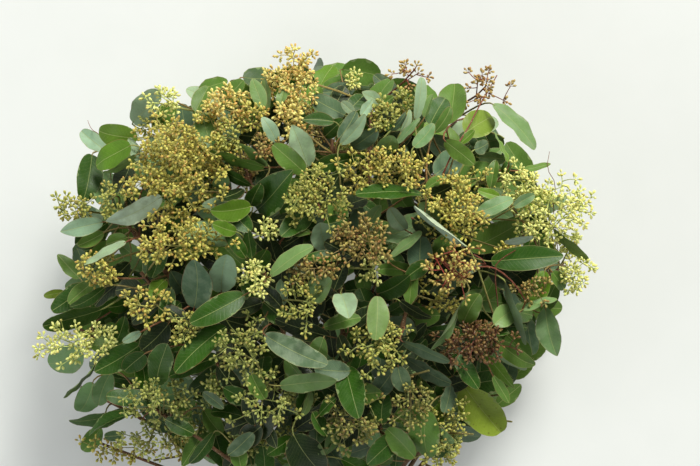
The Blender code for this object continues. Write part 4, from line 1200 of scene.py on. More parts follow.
class Sites:
    """Places along every stem and shoot from which small leaves and sprays grow."""

    def __init__(self, axes):
        self.places = []
        for axis in axes:
            low = axis.runs[-1] * (BARE_SHARE * 0.75 if axis.root is None else 0.1)
            for along in np.arange(low, axis.runs[-1] - 1.0, SITE_PITCH):
                self.places.append((axis, float(along)))
        self.points = np.array([tuple(axis.at(along)[0]) for axis, along in self.places])

    def near(self, point, count):
        """The nearest places to a point, the nearest first."""
        gaps = np.linalg.norm(self.points - np.array(point), axis=1)
        return [self.places[i] for i in np.argsort(gaps)[:count]]

    def host(self, place, point):
        """The side of an axis that looks most towards a point."""
        axis, along = place
        sides = [Host(axis, along, side) for side in range(axis.sides)]
        return max(sides, key=lambda host: host.normal.dot(point - host.centre))


def small_leaf(space, host, base, ahead, length, rng):
    """A small leaf if it has room inside the crown, or None."""
    leaf = Leaf(base, base + ahead * length, length * rng.uniform(*INNER_WIDTH), rng)
    leaf.roll = rng.uniform(*HIDDEN_ROLL)
    # Inside the crown a small leaf takes a dark kind, painted shade; past RIM a lighter one.
    leaf.kind = rng.choice(INNER_RIM_KINDS if crown_radius(base) > RIM else SHADED_INNER_KINDS)
    leaf.small = True
    outside = max(crown_radius(leaf.tip), crown_radius(base)) >= INNER_RIM
    if outside or leaf.tip.z >= crown_height(leaf.tip) - BELOW_CROWN:
        return None
    if min(leaf.tip.z, base.z) < LOWEST_LEAF:
        return None
    leaf.join(host)
    if not space.clear(*leaf.solids(INNER_GAP)[1]):
        return None
    space.add("inner", *strip_solid(leaf.twig_rings()[-1:] + leaf.blade_rings()))
    return leaf


def covered(space, x, y, floor=-1.0):
    """Whether a stem or leaf over a floor hides a spot of it from straight above."""
    top = Vector((x, y, 400.0))
    for name, tree, low, high in space.solids:
        if low[0] <= x <= high[0] and low[1] <= y <= high[1] and not name.startswith("gumnut"):
            met = tree.ray_cast(top, DOWN)[0]
            if met is not None and met.z > floor:
                return True
    return False


def levelled(way, share):
    """A unit vector that rises by only a share of what the way does."""
    return Vector((way.x, way.y, way.z * share)).normalized()


def first_leaf(tries, make):
    """What the first try that has room makes, as a list, or an empty list."""
    for _ in range(tries):
        leaf = make()
        if leaf:
            return [leaf]
    return []


def closing_leaves(space, sites, rng):
    """Small leaves wherever the floor would show through the crown from above."""

    def make():
        spot.z = max(12.0, crown_height(spot) * rng.uniform(*FILL_REACH))
        place = rng.choice(sites.near(spot, 12))
        host = sites.host(place, spot)
        way = (spot - host.centre).normalized()
        way = levelled(way + Vector((rng.gauss(0, 0.5), rng.gauss(0, 0.5), 0.0)), 0.4)
        length = rng.uniform(*INNER_LENGTH) * FILL_LONGER
        return small_leaf(space, host, spot - way * length * 0.5, way, length, rng)

    placed = []
    columns, rows = (np.arange(1 - end, end, FILL_PITCH) for end in FILL_RANGE)
    spots = [(x, y) for x in columns for y in rows]
    rng.shuffle(spots)
    for x, y in spots:
        spot = Vector((x + rng.uniform(-3, 3), y + rng.uniform(-3, 3), 0.0))
        if crown_radius(spot) <= INNER_RIM and not covered(space, spot.x, spot.y):
            placed += first_leaf(FILL_TRIES, make)
    return placed


def veil_leaves(space, axes, rng):
    """Small leaves over the stems and shoots that would lie bare when seen from above."""

    def make():
        host = Host(axis, along + rng.uniform(-5.0, 5.0), rng.randrange(axis.sides))
        length = rng.uniform(*INNER_LENGTH)
        way = ahead * rng.choice((-1, 1)) + Vector([rng.gauss(0, 0.6) for _ in range(3)])
        way = levelled(way, 0.3)
        over = point + UP * rng.uniform(*VEIL_RISE)
        return small_leaf(space, host, over - way * length * 0.5, way, length, rng)

    placed = []
    for axis in axes:
        low = axis.runs[-1] * (BARE_SHARE if axis.root is None else 0.3)
        for along in np.arange(low, axis.runs[-1] - 6.0, VEIL_PITCH):
            point, ahead, radius = axis.at(along)
            if crown_radius(point) > VEIL_RIM:
                continue
            if not covered(space, point.x, point.y, point.z + radius + 2.0):
                placed += first_leaf(VEIL_TRIES, make)
    return placed


def inner_leaves(space, sites, rng):
    """Small leaves along stems and shoots, wherever there is room inside the crown."""
    placed = []
    for _ in range(INNER_TRIES):
        axis, along = rng.choice(sites.places)
        host = Host(axis, along, rng.randrange(axis.sides))
        wild = any_way(rng)
        way = (host.normal + host.ahead * rng.uniform(0.0, 0.8) + wild * 0.7).normalized()
        way = levelled(way, 0.7)
        base = host.centre + host.normal * 3.0 + way * rng.uniform(3.0, 16.0)
        leaf = small_leaf(space, host, base, way, rng.uniform(*INNER_LENGTH), rng)
        if leaf:
            placed.append(leaf)
            if len(placed) == INNER_LEAVES:
                break
    return placed


class Cloud:
    """A cluster of sprays, each of which grows from the nearest branch there is."""

    def __init__(self, centre, spread, tone, skeleton=(), taken=(), density=DENSITY):
        self.centre = centre
        self.spread = spread
        self.tone = tone
        self.skeleton = list(skeleton)
        self.taken = list(taken)
        self.density = density
        self.sprays = []
        self.stalk = None
        self.radii = FREE_STALK

    def star(self, tip, ahead, count, rng):
        """Feet and directions of buds round the end of a branch."""
        level, raised = axes_across(ahead)
        turn = rng.uniform(0.0, math.tau)
        buds = [(tip, (ahead + level * rng.uniform(-0.2, 0.2)).normalized())]
        for k in range(count - 1):
            angle = turn + math.tau * k / (count - 1) + rng.uniform(-0.4, 0.4)
            out = level * math.cos(angle) + raised * math.sin(angle)
            way = (out + ahead * rng.uniform(-0.1, 1.0)).normalized()
            buds.append((tip - ahead * rng.uniform(0.0, PEDICEL), way))
        return buds

    def fill(self, leaves_tree, rng):
        """Grows sprays towards points spread through the cluster, the inmost first."""
        room = SPRAY_ROOM - SPRAY_PACKING * self.density
        area = math.pi * self.spread[0] * self.spread[1]
        tips = []
        for _ in range(round(area * self.density / DENSITY / SPRAY_AREA)):
            way = any_way(rng)
            reach = rng.uniform(*SPRAY_REACH) ** 0.5
            offset = Vector([w * s for w, s in zip(way, self.spread)]) * reach
            offset *= 1.0 + SPRAY_RAGGED * noise.noise((self.centre + offset) * 0.06)
            tips.append((reach, offset))
        for reach, offset in sorted(tips, key=lambda item: item[0]):
            tip = self.centre + offset
            roots = sorted(self.skeleton, key=lambda point: (point - tip).length)[:SPRAY_ROOTS]
            clear = [r for r in roots if self.open_way(r, tip, leaves_tree)]
            if tip.z < SPRAY_LOWEST or not clear or (clear[0] - tip).length < PEDICEL:
                continue
            if any((points[-1] - tip).length < room for points, buds in self.sprays):
                continue
            self.grow(clear[0], tip, leaves_tree, rng)

    @staticmethod
    def open_way(root, tip, leaves_tree):
        gap = tip - root
        return leaves_tree.ray_cast(root, gap.normalized(), gap.length + 2.0)[0] is None

    def grow(self, root, tip, leaves_tree, rng):
        sag = Vector((rng.uniform(-1, 1), rng.uniform(-1, 1), rng.uniform(-0.5, 1.0)))
        knee = root.lerp(tip, 0.5) + sag * 0.1 * (tip - root).length
        buds = []
        star = self.star(tip, (tip - knee).normalized(), rng.choice(SPRAY_NUTS), rng)
        for foot, way in star:
            middle = foot + way * 0.66 * NUT_LENGTH
            if middle.z < BUD_RADIUS + 0.5:
                continue
            if any((middle - other).length < BUD_ROOM for other in self.taken):
                continue
            if leaves_tree.find_nearest(middle, LEAF_ROOM)[0] is not None:
                continue
            buds.append((foot, way))
            self.taken.append(middle)
        if len(buds) < 2:
            return
        self.sprays.append(([root, knee, tip], buds))
        self.skeleton += [root.lerp(knee, 0.7), knee, knee.lerp(tip, 0.6), tip]


def panicle_cloud(panicle, leaves_tree, rng):
    """The sprays that fill a panicle's own cluster."""
    skeleton = []
    for p, q in zip(panicle.points[1:], panicle.points[2:]):
        skeleton += [p.lerp(q, k / 6) for k in range(6)]
    taken = []
    for umbel in panicle.umbels:
        skeleton += [umbel.root.lerp(umbel.neck, k / 4) for k in range(1, 5)]
        taken += [foot + way * 0.62 * BUD_LENGTH for foot, way in umbel.buds]
    spread = [SPRAY_WIDER * size for size in (panicle.across, panicle.down, panicle.deep)]
    cloud = Cloud(panicle.centre, spread, panicle.tone, skeleton, taken, panicle.density)
    cloud.fill(leaves_tree, rng)
    return cloud


def free_cloud(spec, sites, leaves_tree, rng):
    """A cluster that grows straight from the nearest stem or shoot with an open way."""
    x, y, across, down, layer, tone = spec
    centre, deep = cluster_place(x, y, across, down, layer)
    roots = [axis.at(along)[0] for axis, along in sites.near(centre, 40)]
    roots = [root for root in roots if Cloud.open_way(root, centre, leaves_tree)] or roots
    stalk = rounded([roots[0], roots[0].lerp(centre, 0.5) + UP * STALK_ARCH, centre])
    density = LOOSE if y > LOOSE_BELOW else DENSITY
    skeleton = stalk[len(stalk) // 2:]
    cloud = Cloud(centre, (across, down, deep), tone, skeleton, density=density)
    cloud.stalk = stalk
    cloud.fill(leaves_tree, rng)
    return cloud


def bare_twig(spec, sites):
    """A red twig without nuts that grows from the nearest stem or shoot."""
    stops, radii = spec
    line = [board(x, y, 0.0) for x, y in stops]
    for point in line:
        point.z = crown_height(point) - TWIG_DEPTH
    axis, along = sites.near(line[0], 1)[0]
    twig = Cloud(line[-1], (0.0, 0.0, 0.0), "T")
    twig.stalk = [axis.at(along)[0]] + line
    twig.radii = radii
    return twig


# ------------------------------------------------------------------ pieces of fine meshes
SHARP_DEGREES = 65.0
# Of the flat map: the gap between shapes and room on its shelves, in its own width, and
# how much longer than the map's share of a tube the strips are that the tube is folded in.
MAP_GAP = 0.004
MAP_ROOM = 1.1
FOLD = 1.5


def linked(name, data):
    """A new object in the scene."""
    made = bpy.data.objects.new(name, data)
    bpy.context.scene.collection.objects.link(made)
    return made


class Piece:
    """Points in millimetres, faces and values at the points, joined into one mesh."""

    def __init__(self, name, looks):
        self.name = name
        self.looks = looks
        self.points = []
        self.faces = []
        self.face_looks = []
        self.spreads = []
        self.values = {}
        self.count = 0

    def add(self, points, faces, looks, spread, **values):
        """Adds a shape: its points, faces that count from 0, each face's look, where its
        corners lie once it is spread out flat, and its values."""
        points = np.asarray(points, float)
        self.faces += [tuple(i + self.count for i in face) for face in faces]
        self.face_looks += looks
        self.spreads.append(np.array([corner for corners in spread for corner in corners]))
        self.points.append(points)
        for name, value in values.items():
            size = (len(points), np.shape(value)[-1])
            self.values.setdefault(name, []).append(np.broadcast_to(value, size))
        self.count += len(points)

    def build(self, node, slot):
        """The Blender object, which rides with the part and stands for its node."""
        mesh = bpy.data.meshes.new(self.name)
        mesh.from_pydata(np.concatenate(self.points) * MM, [], self.faces)
        for look in self.looks:
            mesh.materials.append(look)
        mesh.polygons.foreach_set("material_index", self.face_looks)
        mesh.polygons.foreach_set("use_smooth", [True] * len(self.faces))
        mesh.uv_layers.new(name="OFBake").uv.foreach_set("vector", packed(self.spreads).ravel())
        for name, parts in self.values.items():
            data = np.concatenate(parts).astype(np.float32)
            kind = "COLOR" if data.shape[1] == 4 else "VECTOR"
            layer = mesh.attributes.new(name, "FLOAT_" + kind, "POINT")
            layer.data.foreach_set(kind.lower(), data.ravel())
        mesh.set_sharp_from_angle(angle=math.radians(SHARP_DEGREES))
        mesh.update()
        made = linked(self.name, mesh)
        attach(made, "root")
        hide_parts(node)


def packed(spreads):
    """The flat shapes moved on to shelves, the highest first, and fitted into a unit square."""
    sizes = [spread.max(0) for spread in spreads]
    side = math.sqrt(sum(width * height for width, height in sizes))
    gap = MAP_GAP * side
    side *= MAP_ROOM
    x = y = gap
    shelf = across = 0.0
    for i in sorted(range(len(sizes)), key=lambda i: -sizes[i][1]):
        width, height = sizes[i]
        if x + width > side:
            x, y, shelf = gap, y + shelf + gap, 0.0
        spreads[i] = spreads[i] + (x, y)
        x += width + gap
        shelf = max(shelf, height)
        across = max(across, x)
    return (np.concatenate(spreads) / max(across, y + shelf + gap)).astype(np.float32)


def rounded(points, steps=2):
    """A line of points with its corners cut, keeping its ends."""
    for _ in range(steps):
        cut = [points[0]]
        for p, q in zip(points, points[1:]):
            cut += [p.lerp(q, 0.25), p.lerp(q, 0.75)]
        points = cut + [points[-1]]
    return points


def run_lengths(line):
    """How far along a line each of its points lies."""
    return np.concatenate([[0.0], np.cumsum(np.linalg.norm(np.diff(line, axis=0), axis=1))])


def tube(points, radii, sides):
    """Points, faces, flat places and shares along of a closed tube. Each ring is turned as
    the one before it, and the two ends are the last faces."""
    line = np.array([tuple(p) for p in points])
    ahead = np.gradient(line, axis=0)
    ahead /= np.linalg.norm(ahead, axis=1)[:, None] + 1e-9
    side = np.cross(ahead[0], (0.31, 0.17, 0.93))
    side /= np.linalg.norm(side)
    angles = np.arange(sides) * math.tau / sides
    rings = []
    for centre, way, radius in zip(line, ahead, radii):
        side = side - way * side.dot(way)
        side /= np.linalg.norm(side) + 1e-9
        other = np.cross(way, side)
        arms = np.outer(np.cos(angles), side) + np.outer(np.sin(angles), other)
        rings.append(centre + arms * radius)
    points = np.concatenate(rings)
    faces, spread = [], []
    runs = run_lengths(line)
    step = math.tau * max(radii) / sides
    strip = FOLD * math.sqrt(runs[-1] * step * sides)
    left = start = 0.0
    for i in range(len(line) - 1):
        if runs[i + 1] - start > strip and runs[i] > start:
            left, start = left + (sides + 0.3) * step, runs[i]
        near, far = runs[i] - start, runs[i + 1] - start
        for k in range(sides):
            after = (k + 1) % sides
            low, high = i * sides, (i + 1) * sides
            faces.append((low + k, low + after, high + after, high + k))
            x = left + k * step
            spread.append([(x, near), (x + step, near), (x + step, far), (x, far)])
    faces += [tuple(range(sides))[::-1], tuple(range(len(points) - sides, len(points)))]
    disc = np.stack([1 + np.cos(angles), 1 + np.sin(angles)], 1)
    for end, x in ((disc[::-1] * radii[0], left), (disc * radii[-1], left + 2.2 * radii[0])):
        spread.append([(x + c, far + 0.3 + s) for c, s in end])
    along = np.repeat(np.linspace(0.0, 1.0, len(line)), sides)
    return points, faces, spread, along


# ------------------------------------------------------------------ colours
def linear(red, green, blue):
    """A colour from 0 to 255 a channel, as it looks on a screen, in linear light."""
    shares = (red / 255, green / 255, blue / 255)
    return tuple(c / 12.92 if c <= 0.04045 else ((c + 0.055) / 1.055) ** 2.4 for c in shares)


def in_linear(row):
    """A row of colours from 0 to 255 a channel in linear light, its plain numbers kept."""
    return [linear(*part) if isinstance(part, tuple) else part for part in row]


# Leaf kinds: upper face, under face, then shares of bloom and of brown spots. V is a
# near-black green, painted shade for leaves deep in the crown; A is a very pale, bloomed
# green, partly the leaf's own bloom and partly painted light for leaves that face away from
# the lamps.
LEAF_KINDS = {
    "B": ((88, 124, 30), (124, 148, 72), 0.0, 0.05),
    "M": ((84, 118, 44), (118, 140, 84), 0.05, 0.05),
    "D": ((36, 74, 8), (100, 124, 74), 0.05, 0.05),
    "V": ((18, 38, 10), (84, 106, 62), 0.04, 0.05),
    "G": ((106, 140, 86), (126, 146, 104), 0.30, 0.08),
    "K": ((76, 102, 74), (112, 134, 100), 0.25, 0.05),
    "P": ((142, 171, 136), (146, 164, 126), 0.50, 0.15),
    "A": ((176, 196, 172), (182, 198, 172), 0.40, 0.08),
    "L": ((108, 138, 76), (132, 154, 96), 0.15, 0.08),
    "O": ((118, 140, 44), (132, 150, 76), 0.0, 0.55),
}

# Nut tones: body, green cap, brown cap, branch and the share of brown caps. S is a
# darker, greener tone for the low clusters: partly their own greener colour, partly
# painted shade where the light falls off towards the bottom.
NUT_TONES = {
    "O": ((212, 202, 108), (236, 224, 134), (212, 168, 92), (178, 164, 92), 0.45),
    "G": ((142, 149, 62), (184, 183, 95), (169, 143, 70), (142, 152, 82), 0.15),
    "P": ((210, 214, 118), (228, 230, 142), (214, 196, 108), (184, 196, 112), 0.15),
    "Y": ((172, 169, 74), (208, 200, 100), (184, 146, 72), (154, 152, 82), 0.3),
    "R": ((100, 84, 42), (121, 97, 51), (99, 64, 35), (94, 52, 36), 0.6),
    "B": ((136, 130, 64), (172, 156, 86), (150, 110, 60), (124, 106, 62), 0.4),
    "W": ((176, 164, 84), (206, 194, 106), (186, 146, 80), (136, 58, 46), 0.35),
    "S": ((127, 138, 60), (166, 171, 90), (150, 128, 66), (137, 146, 78), 0.12),
    "V": ((112, 118, 50), (150, 148, 76), (134, 108, 58), (112, 116, 62), 0.25),
    "T": ((168, 150, 84), (192, 166, 98), (162, 116, 64), (128, 62, 50), 0.5),
}
PETIOLE_GREEN = linear(138, 148, 80)
PETIOLE_RED = linear(128, 76, 52)
BARK_LOW = linear(104, 92, 62)
BARK_HIGH = linear(106, 74, 48)
WOOD_PALE = linear(206, 188, 142)
WOOD_RAY = linear(168, 142, 96)
MIDRIB_TONE = linear(158, 168, 104)
BLOOM_TONE = linear(140, 156, 128)
MARGIN_PALE = linear(170, 168, 112)
MARGIN_RED = linear(146, 88, 66)
SPOT_TONE = linear(84, 62, 30)
RUST = linear(150, 82, 40)


def mixed(a, b, share):
    return tuple(p + (q - p) * share for p, q in zip(a, b))


def varied(colour, rng, spread):
    """A colour made lighter or darker, and a little warmer or cooler, at random."""
    light = 1.0 + rng.uniform(-spread, spread)
    warm = 1.0 + rng.uniform(-0.4, 0.4) * spread
    return (colour[0] * light * warm, colour[1] * light, colour[2] * light / warm)


# ------------------------------------------------------------------ fine shapes
LEAF_GRID = (14, 8)
SMALL_GRID = (8, 6)
LEAF_THICKNESS = 0.5
TIP_POWERS = (0.38, 0.42, 0.42, 0.46, 0.5, 0.58, 0.78)
TWIG_STOPS = (0.0, 0.12, 0.28, 0.45, 0.62, 0.78, 0.92)
TWIG_SIDES = 6
STEM_FINE_SIDES = 10
STEM_RING_PITCH = 5.0
SCAR_WIDTH = 2.6
SCAR_RISE = 0.28
STEM_SLIMMER = 0.93
# Of a blade: its fold and waves as shares of its half width, curl as a share of its length.
FOLD_RANGE = (0.03, 0.2)
WAVE_RANGE = (0.02, 0.09)
WAVES = (1.2, 2.6)
CURL_RANGE = (-0.06, 0.08)
# How much leaves and nuts differ in colour within their kind.
UPPER_VARIES = 0.14
UNDER_VARIES = 0.1
NUT_VARIES = 0.16
CAP_VARIES = 0.14
# A twig's radius at its foot, to which a long twig adds a millimetre for each TWIG_REACH and
# at most TWIG_EXTRA; its taper; and its last two radii, inside the blade's base.
TWIG_RADIUS = 0.75
TWIG_REACH = 150.0
TWIG_EXTRA = 0.4
TWIG_TAPER = 0.4
TWIG_END = (0.6, 0.35)
NUT_SIDES = 5
# Rings of a gum nut on its foot: share of the length, share of the radius.
NUT_RINGS = ((0.32, 0.22), (0.52, 0.74), (0.71, 1.0), (0.89, 0.64))
NUT_RADIUS = 1.48
NUT_LENGTH = 7.4
NUT_SIZES = (0.8, 1.1)


def add_leaf(piece, leaf, rng):
    """Two skins that meet at the blade's margin: a folded, waved blade with a pointed tip."""
    upper, under, bloom, spots = in_linear(LEAF_KINDS[leaf.kind])
    fold = wave = curl = 0.0
    if not leaf.flat:
        fold = rng.uniform(*FOLD_RANGE) + 0.25 * rng.random() ** 4
        wave = rng.uniform(*WAVE_RANGE)
        curl = rng.uniform(*CURL_RANGE)
    waves = rng.uniform(*WAVES)
    turn = rng.uniform(0.0, math.tau)
    leaf.point = rng.choice(TIP_POWERS)
    rows, places, skins = [], [], []
    steps, columns = SMALL_GRID if leaf.small else LEAF_GRID
    sides = np.linspace(-1.0, 1.0, columns + 1)
    for i in range(steps + 1):
        t = 0.5 - 0.5 * math.cos(math.pi * i / steps)
        across, face = (np.array(v) for v in leaf.frame(t))
        half = blade_half_width(leaf, t)
        spine = np.array(leaf.spine(t)) - face * curl * leaf.length * smooth(0.6, 1.0, t) ** 2
        calm = smooth(0.0, 0.2, t) * smooth(1.0, 0.75, t)
        ripple = np.sin(math.tau * waves * t + turn + 1.3 * (sides > 0)) * sides ** 2 * calm
        lift = half * (fold * np.abs(sides) + wave * 2.0 * ripple)
        rows.append(spine + np.outer(sides * half, across) + np.outer(lift, face))
        thick = 0.5 * LEAF_THICKNESS * (1 - sides ** 4) * min(1, 8 * t, 8 - 8 * t)
        skins.append(np.outer(thick, face))
        edge = np.minimum((1 - np.abs(sides)) * half, 0.9 * (1 - t) * leaf.length)
        places.append(np.stack([np.full_like(sides, t * leaf.length), sides * half, edge], 1))
    middle = np.concatenate(rows)
    skin = np.concatenate(skins)
    place = np.concatenate(places)
    apart = np.abs(skin).sum(1) > 1e-6
    lower = np.where(apart, len(middle) + np.cumsum(apart) - 1, np.arange(len(middle)))
    width = columns + 1
    top, bottom, spread = [], [], []
    for i in range(steps):
        for j in range(columns):
            a = i * width + j
            corners = (a, a + 1, a + 1 + width, a + width)
            top.append(corners)
            bottom.append(tuple(int(lower[c]) for c in reversed(corners)))
            low, high = place[a, 0], place[a + width, 0]
            near, far = j * leaf.width / columns, (j + 1) * leaf.width / columns
            spread.append([(near, low), (far, low), (far, high), (near, high)])
    aside = 1.02 * leaf.width
    spread += [[(x + aside, y) for x, y in reversed(corners)] for corners in spread]
    values = {
        "leaf": np.concatenate([place, place[apart]]),
        "upper": (*varied(upper, rng, UPPER_VARIES), rng.random()),
        "under": (*varied(under, rng, UNDER_VARIES), rng.random()),
        "traits": (
            rng.random() ** 2, spots * rng.uniform(0.3, 1.0), bloom * rng.uniform(0.4, 1.4)
        ),
    }
    points = np.concatenate([middle + skin, (middle - skin)[apart]])
    looks = [0] * len(top) + [1] * len(top)
    piece.add(points, top + bottom, looks, spread, **values)


def blade_half_width(leaf, t):
    """Half the blade's width: rounded at its base, blunt or drawn out at its tip."""
    base = 0.6 * leaf.fullness + 0.1
    power = base + (leaf.point - base) * smooth(0.3, 0.8, t)
    blade = 0.52 * leaf.width * max(0.0, math.sin(math.pi * t ** 0.92)) ** power
    return blade + 0.6 * (1 - t) ** 6 + 0.04


def add_twig(piece, leaf, rng):
    """The petiole and twig of a leaf, from the middle of its stem into the blade's base.

    A leaf on a shoot's end shows none, for want of a direction: its first two points are
    the same there, which makes the tube's points invalid.
    """
    host = leaf.host
    points = [host.axis.at(host.along)[0]]
    stops, sides = (TWIG_STOPS[::2], 4) if leaf.small else (TWIG_STOPS, TWIG_SIDES)
    points += [leaf.twig(u) for u in stops] + [leaf.twig(1.0), leaf.spine(0.05)]
    thick = TWIG_RADIUS + min(TWIG_EXTRA, leaf.reach / TWIG_REACH)
    radii = [thick * (1.0 - TWIG_TAPER * i / len(points)) for i in range(len(points))]
    radii[-2:] = TWIG_END
    shape, faces, spread, along = tube(points, radii, sides)
    red = rng.random() ** 1.5
    near = mixed(BARK_HIGH, PETIOLE_RED, 0.5)
    far = mixed(PETIOLE_GREEN, PETIOLE_RED, red)
    tone = np.array([(*mixed(near, far, min(1.0, 1.6 * a)), red) for a in along])
    piece.add(shape, faces, [0] * len(faces), spread, tone=tone)


def add_axis(piece, axis, scars):
    """A round stem or shoot with a slight swelling at each leaf."""
    line = [Vector((*point, radius)) for point, radius in zip(axis.points, axis.radii)]
    if axis.root:
        stem = axis.root.axis
        line.insert(0, Vector((*stem.at(axis.root.along)[0], axis.radii[0])))
    line = np.array([tuple(p) for p in rounded(line)])
    runs = run_lengths(line[:, :3])
    stops = np.linspace(0.0, runs[-1], max(4, round(runs[-1] / STEM_RING_PITCH)))
    fine = np.stack([np.interp(stops, runs, line[:, i]) for i in range(4)], 1)
    for scar in scars:
        fine[:, 3] *= 1 + SCAR_RISE * np.exp(-((stops - scar) / SCAR_WIDTH) ** 2)
    points = [Vector(p[:3]) for p in fine]
    sides = STEM_FINE_SIDES if not axis.root else TWIG_SIDES + 2
    shape, faces, spread, along = tube(points, fine[:, 3] * STEM_SLIMMER, sides)
    if axis.root:
        low, high = BARK_HIGH, mixed(BARK_HIGH, PETIOLE_GREEN, 0.5)
    else:
        low, high = BARK_LOW, BARK_HIGH
    tone = np.array([(*mixed(low, high, a ** 0.7), 0.5) for a in along])
    looks = [0] * len(faces)
    looks[-2] = 0 if axis.root else 1
    piece.add(shape, faces, looks, spread, tone=tone)


def add_branch(piece, points, radii, colour):
    """A thin branch of a panicle."""
    line = rounded(points, 1) if len(points) > 2 else points
    radii = np.interp(np.linspace(0, 1, len(line)), np.linspace(0, 1, len(radii)), radii)
    shape, faces, spread = tube(line, radii, 3 if radii[0] < 0.9 else 5)[:3]
    piece.add(shape, faces, [1] * len(faces), spread, tone=(*colour, 0.5))


def add_nut(piece, foot, way, tones, rng):
    """A gum nut: a thin foot, a pear-shaped body, a rim and a low cone for its cap."""
    body, green, brown, stalk, browned = tones
    size = rng.uniform(*NUT_SIZES)
    length = min(1.0, size) * NUT_LENGTH
    level, raised = (np.array(v) for v in axes_across(way))
    foot, way = np.array(foot), np.array(way)
    angles = np.arange(NUT_SIDES) * math.tau / NUT_SIDES + rng.random()
    circle = np.outer(np.cos(angles), level) + np.outer(np.sin(angles), raised)
    fresh = smooth(browned - 0.25, browned + 0.25, rng.random())
    cap = varied(mixed(brown, green, fresh), rng, CAP_VARIES)
    body = varied(mixed(body, cap, rng.uniform(0.0, 0.35)), rng, NUT_VARIES)
    points, tone = [[foot]], [(*stalk, 0.0)]
    for share, wide in NUT_RINGS:
        points.append(foot + way * share * length + circle * wide * NUT_RADIUS * size)
        colour = mixed(stalk, body, smooth(0.2, 0.5, share))
        tone += [(*mixed(colour, cap, smooth(0.6, 0.8, share)), share)] * NUT_SIDES
    points = np.concatenate([*points, [foot + way * length]])
    tone.append((*mixed(cap, RUST, 0.25), 1.0))
    faces, spread = [], []
    step = math.tau * NUT_RADIUS / NUT_SIDES
    rises = [ring[0] * NUT_LENGTH for ring in NUT_RINGS]
    for k in range(NUT_SIDES):
        after = (k + 1) % NUT_SIDES
        near, middle, far = k * step, (k + 0.5) * step, (k + 1) * step
        faces.append((0, 1 + after, 1 + k))
        spread.append([(middle, 0.0), (far, rises[0]), (near, rises[0])])
        for i, (down, up) in enumerate(zip(rises, rises[1:])):
            low, high = 1 + i * NUT_SIDES, 1 + (i + 1) * NUT_SIDES
            faces.append((low + k, low + after, high + after, high + k))
            spread.append([(near, down), (far, down), (far, up), (near, up)])
        faces.append((high + k, high + after, len(points) - 1))
        spread.append([(near, rises[-1]), (far, rises[-1]), (middle, NUT_LENGTH)])
    piece.add(points, faces, [0] * len(faces), spread, tone=np.array(tone))


# ------------------------------------------------------------------ materials
class Value:
    """A number or colour that a material works out. Arithmetic with it adds a node."""

    def __init__(self, look, socket):
        self.look = look
        self.socket = socket

    def __add__(self, other):
        return self.look.maths("ADD", self, other)

    def __sub__(self, other):
        return self.look.maths("SUBTRACT", self, other)

    def __rsub__(self, other):
        return self.look.maths("SUBTRACT", other, self)

    def __mul__(self, other):
        return self.look.maths("MULTIPLY", self, other)

    def __truediv__(self, other):
        return self.look.maths("DIVIDE", self, other)

    def __abs__(self):
        return self.look.maths("ABSOLUTE", self)


class Look:
    """A material whose nodes are added one after another."""

    def __init__(self, name):
        self.material = bpy.data.materials.new(name)
        self.material.use_nodes = True
        self.tree = self.material.node_tree
        self.shader = self.tree.nodes["Principled BSDF"]

    def feed(self, socket, value):
        if isinstance(value, Value):
            self.tree.links.new(value.socket, socket)
        elif isinstance(value, tuple) and len(value) == 3 and socket.type == "RGBA":
            socket.default_value = (*value, 1.0)
        else:
            socket.default_value = value

    def node(self, kind, inputs=(), output=0, **settings):
        """The output of a new node, whose inputs are given in order or by name."""
        made = self.tree.nodes.new(kind)
        for name, value in settings.items():
            setattr(made, name, value)
        for key, value in inputs.items() if isinstance(inputs, dict) else enumerate(inputs):
            self.feed(made.inputs[key], value)
        return Value(self, made.outputs[output])

    def maths(self, operation, *values, clamp=False):
        return self.node("ShaderNodeMath", values, operation=operation, use_clamp=clamp)

    def span(self, value, low, high, start=0.0, end=1.0):
        """value's place between low and high, smoothed, from start to end."""
        numbers = (value, low, high, start, end)
        return self.node("ShaderNodeMapRange", numbers, interpolation_type="SMOOTHSTEP")

    def fade(self, value, low, high, start=1.0):
        """start up to low, and smoothly down to 0 at high."""
        return self.span(value, low, high, start, 0.0)

    def blend(self, share, a, b, mode="MIX"):
        inputs = {0: share, 6: a, 7: b}
        return self.node("ShaderNodeMix", inputs, 2, data_type="RGBA", blend_type=mode)

    def shaded(self, colour, shade):
        """A colour made darker or lighter by a share."""
        return self.blend(1.0, colour, self.join(shade, shade, shade), "MULTIPLY")

    def attribute(self, name, output="Color"):
        return self.node("ShaderNodeAttribute", output=output, attribute_name=name)

    def split(self, vector):
        first = self.node("ShaderNodeSeparateXYZ", [vector])
        return [Value(self, socket) for socket in first.socket.node.outputs]

    def join(self, x, y, z):
        return self.node("ShaderNodeCombineXYZ", (x, y, z))

    def noise(self, place, size, detail=2.0):
        """Noise around 0.5 whose patches are about size across."""
        inputs = {"Vector": place, "Scale": 1.0 / size, "Detail": detail}
        return self.node("ShaderNodeTexNoise", inputs)

    def cells(self, place, size, feature="F1"):
        """Distances in cells that are about size across."""
        inputs = {"Vector": place, "Scale": 1.0 / size}
        return self.node("ShaderNodeTexVoronoi", inputs, "Distance", feature=feature)

    def object_place(self, stretch=(1.0, 1.0, 1.0)):
        """Object coordinates in millimetres."""
        place = self.node("ShaderNodeTexCoord", output="Object")
        scale = [share / MM for share in stretch]
        return self.node("ShaderNodeMapping", {0: place, "Scale": scale})

    def bump(self, height, depth):
        """Relief whose height runs from 0 to 1, depth millimetres deep."""
        inputs = {"Strength": 1.0, "Distance": depth * MM, "Height": height}
        self.feed(self.shader.inputs["Normal"], self.node("ShaderNodeBump", inputs))

    def surface(self, colour, roughness, **values):
        """The finished material."""
        inputs = {"Base Color": colour, "Roughness": roughness}
        for name, value in values.items():
            inputs[name.replace("_", " ").title().replace("Ior", "IOR")] = value
        for name, value in inputs.items():
            self.feed(self.shader.inputs[name], value)
        return self.material


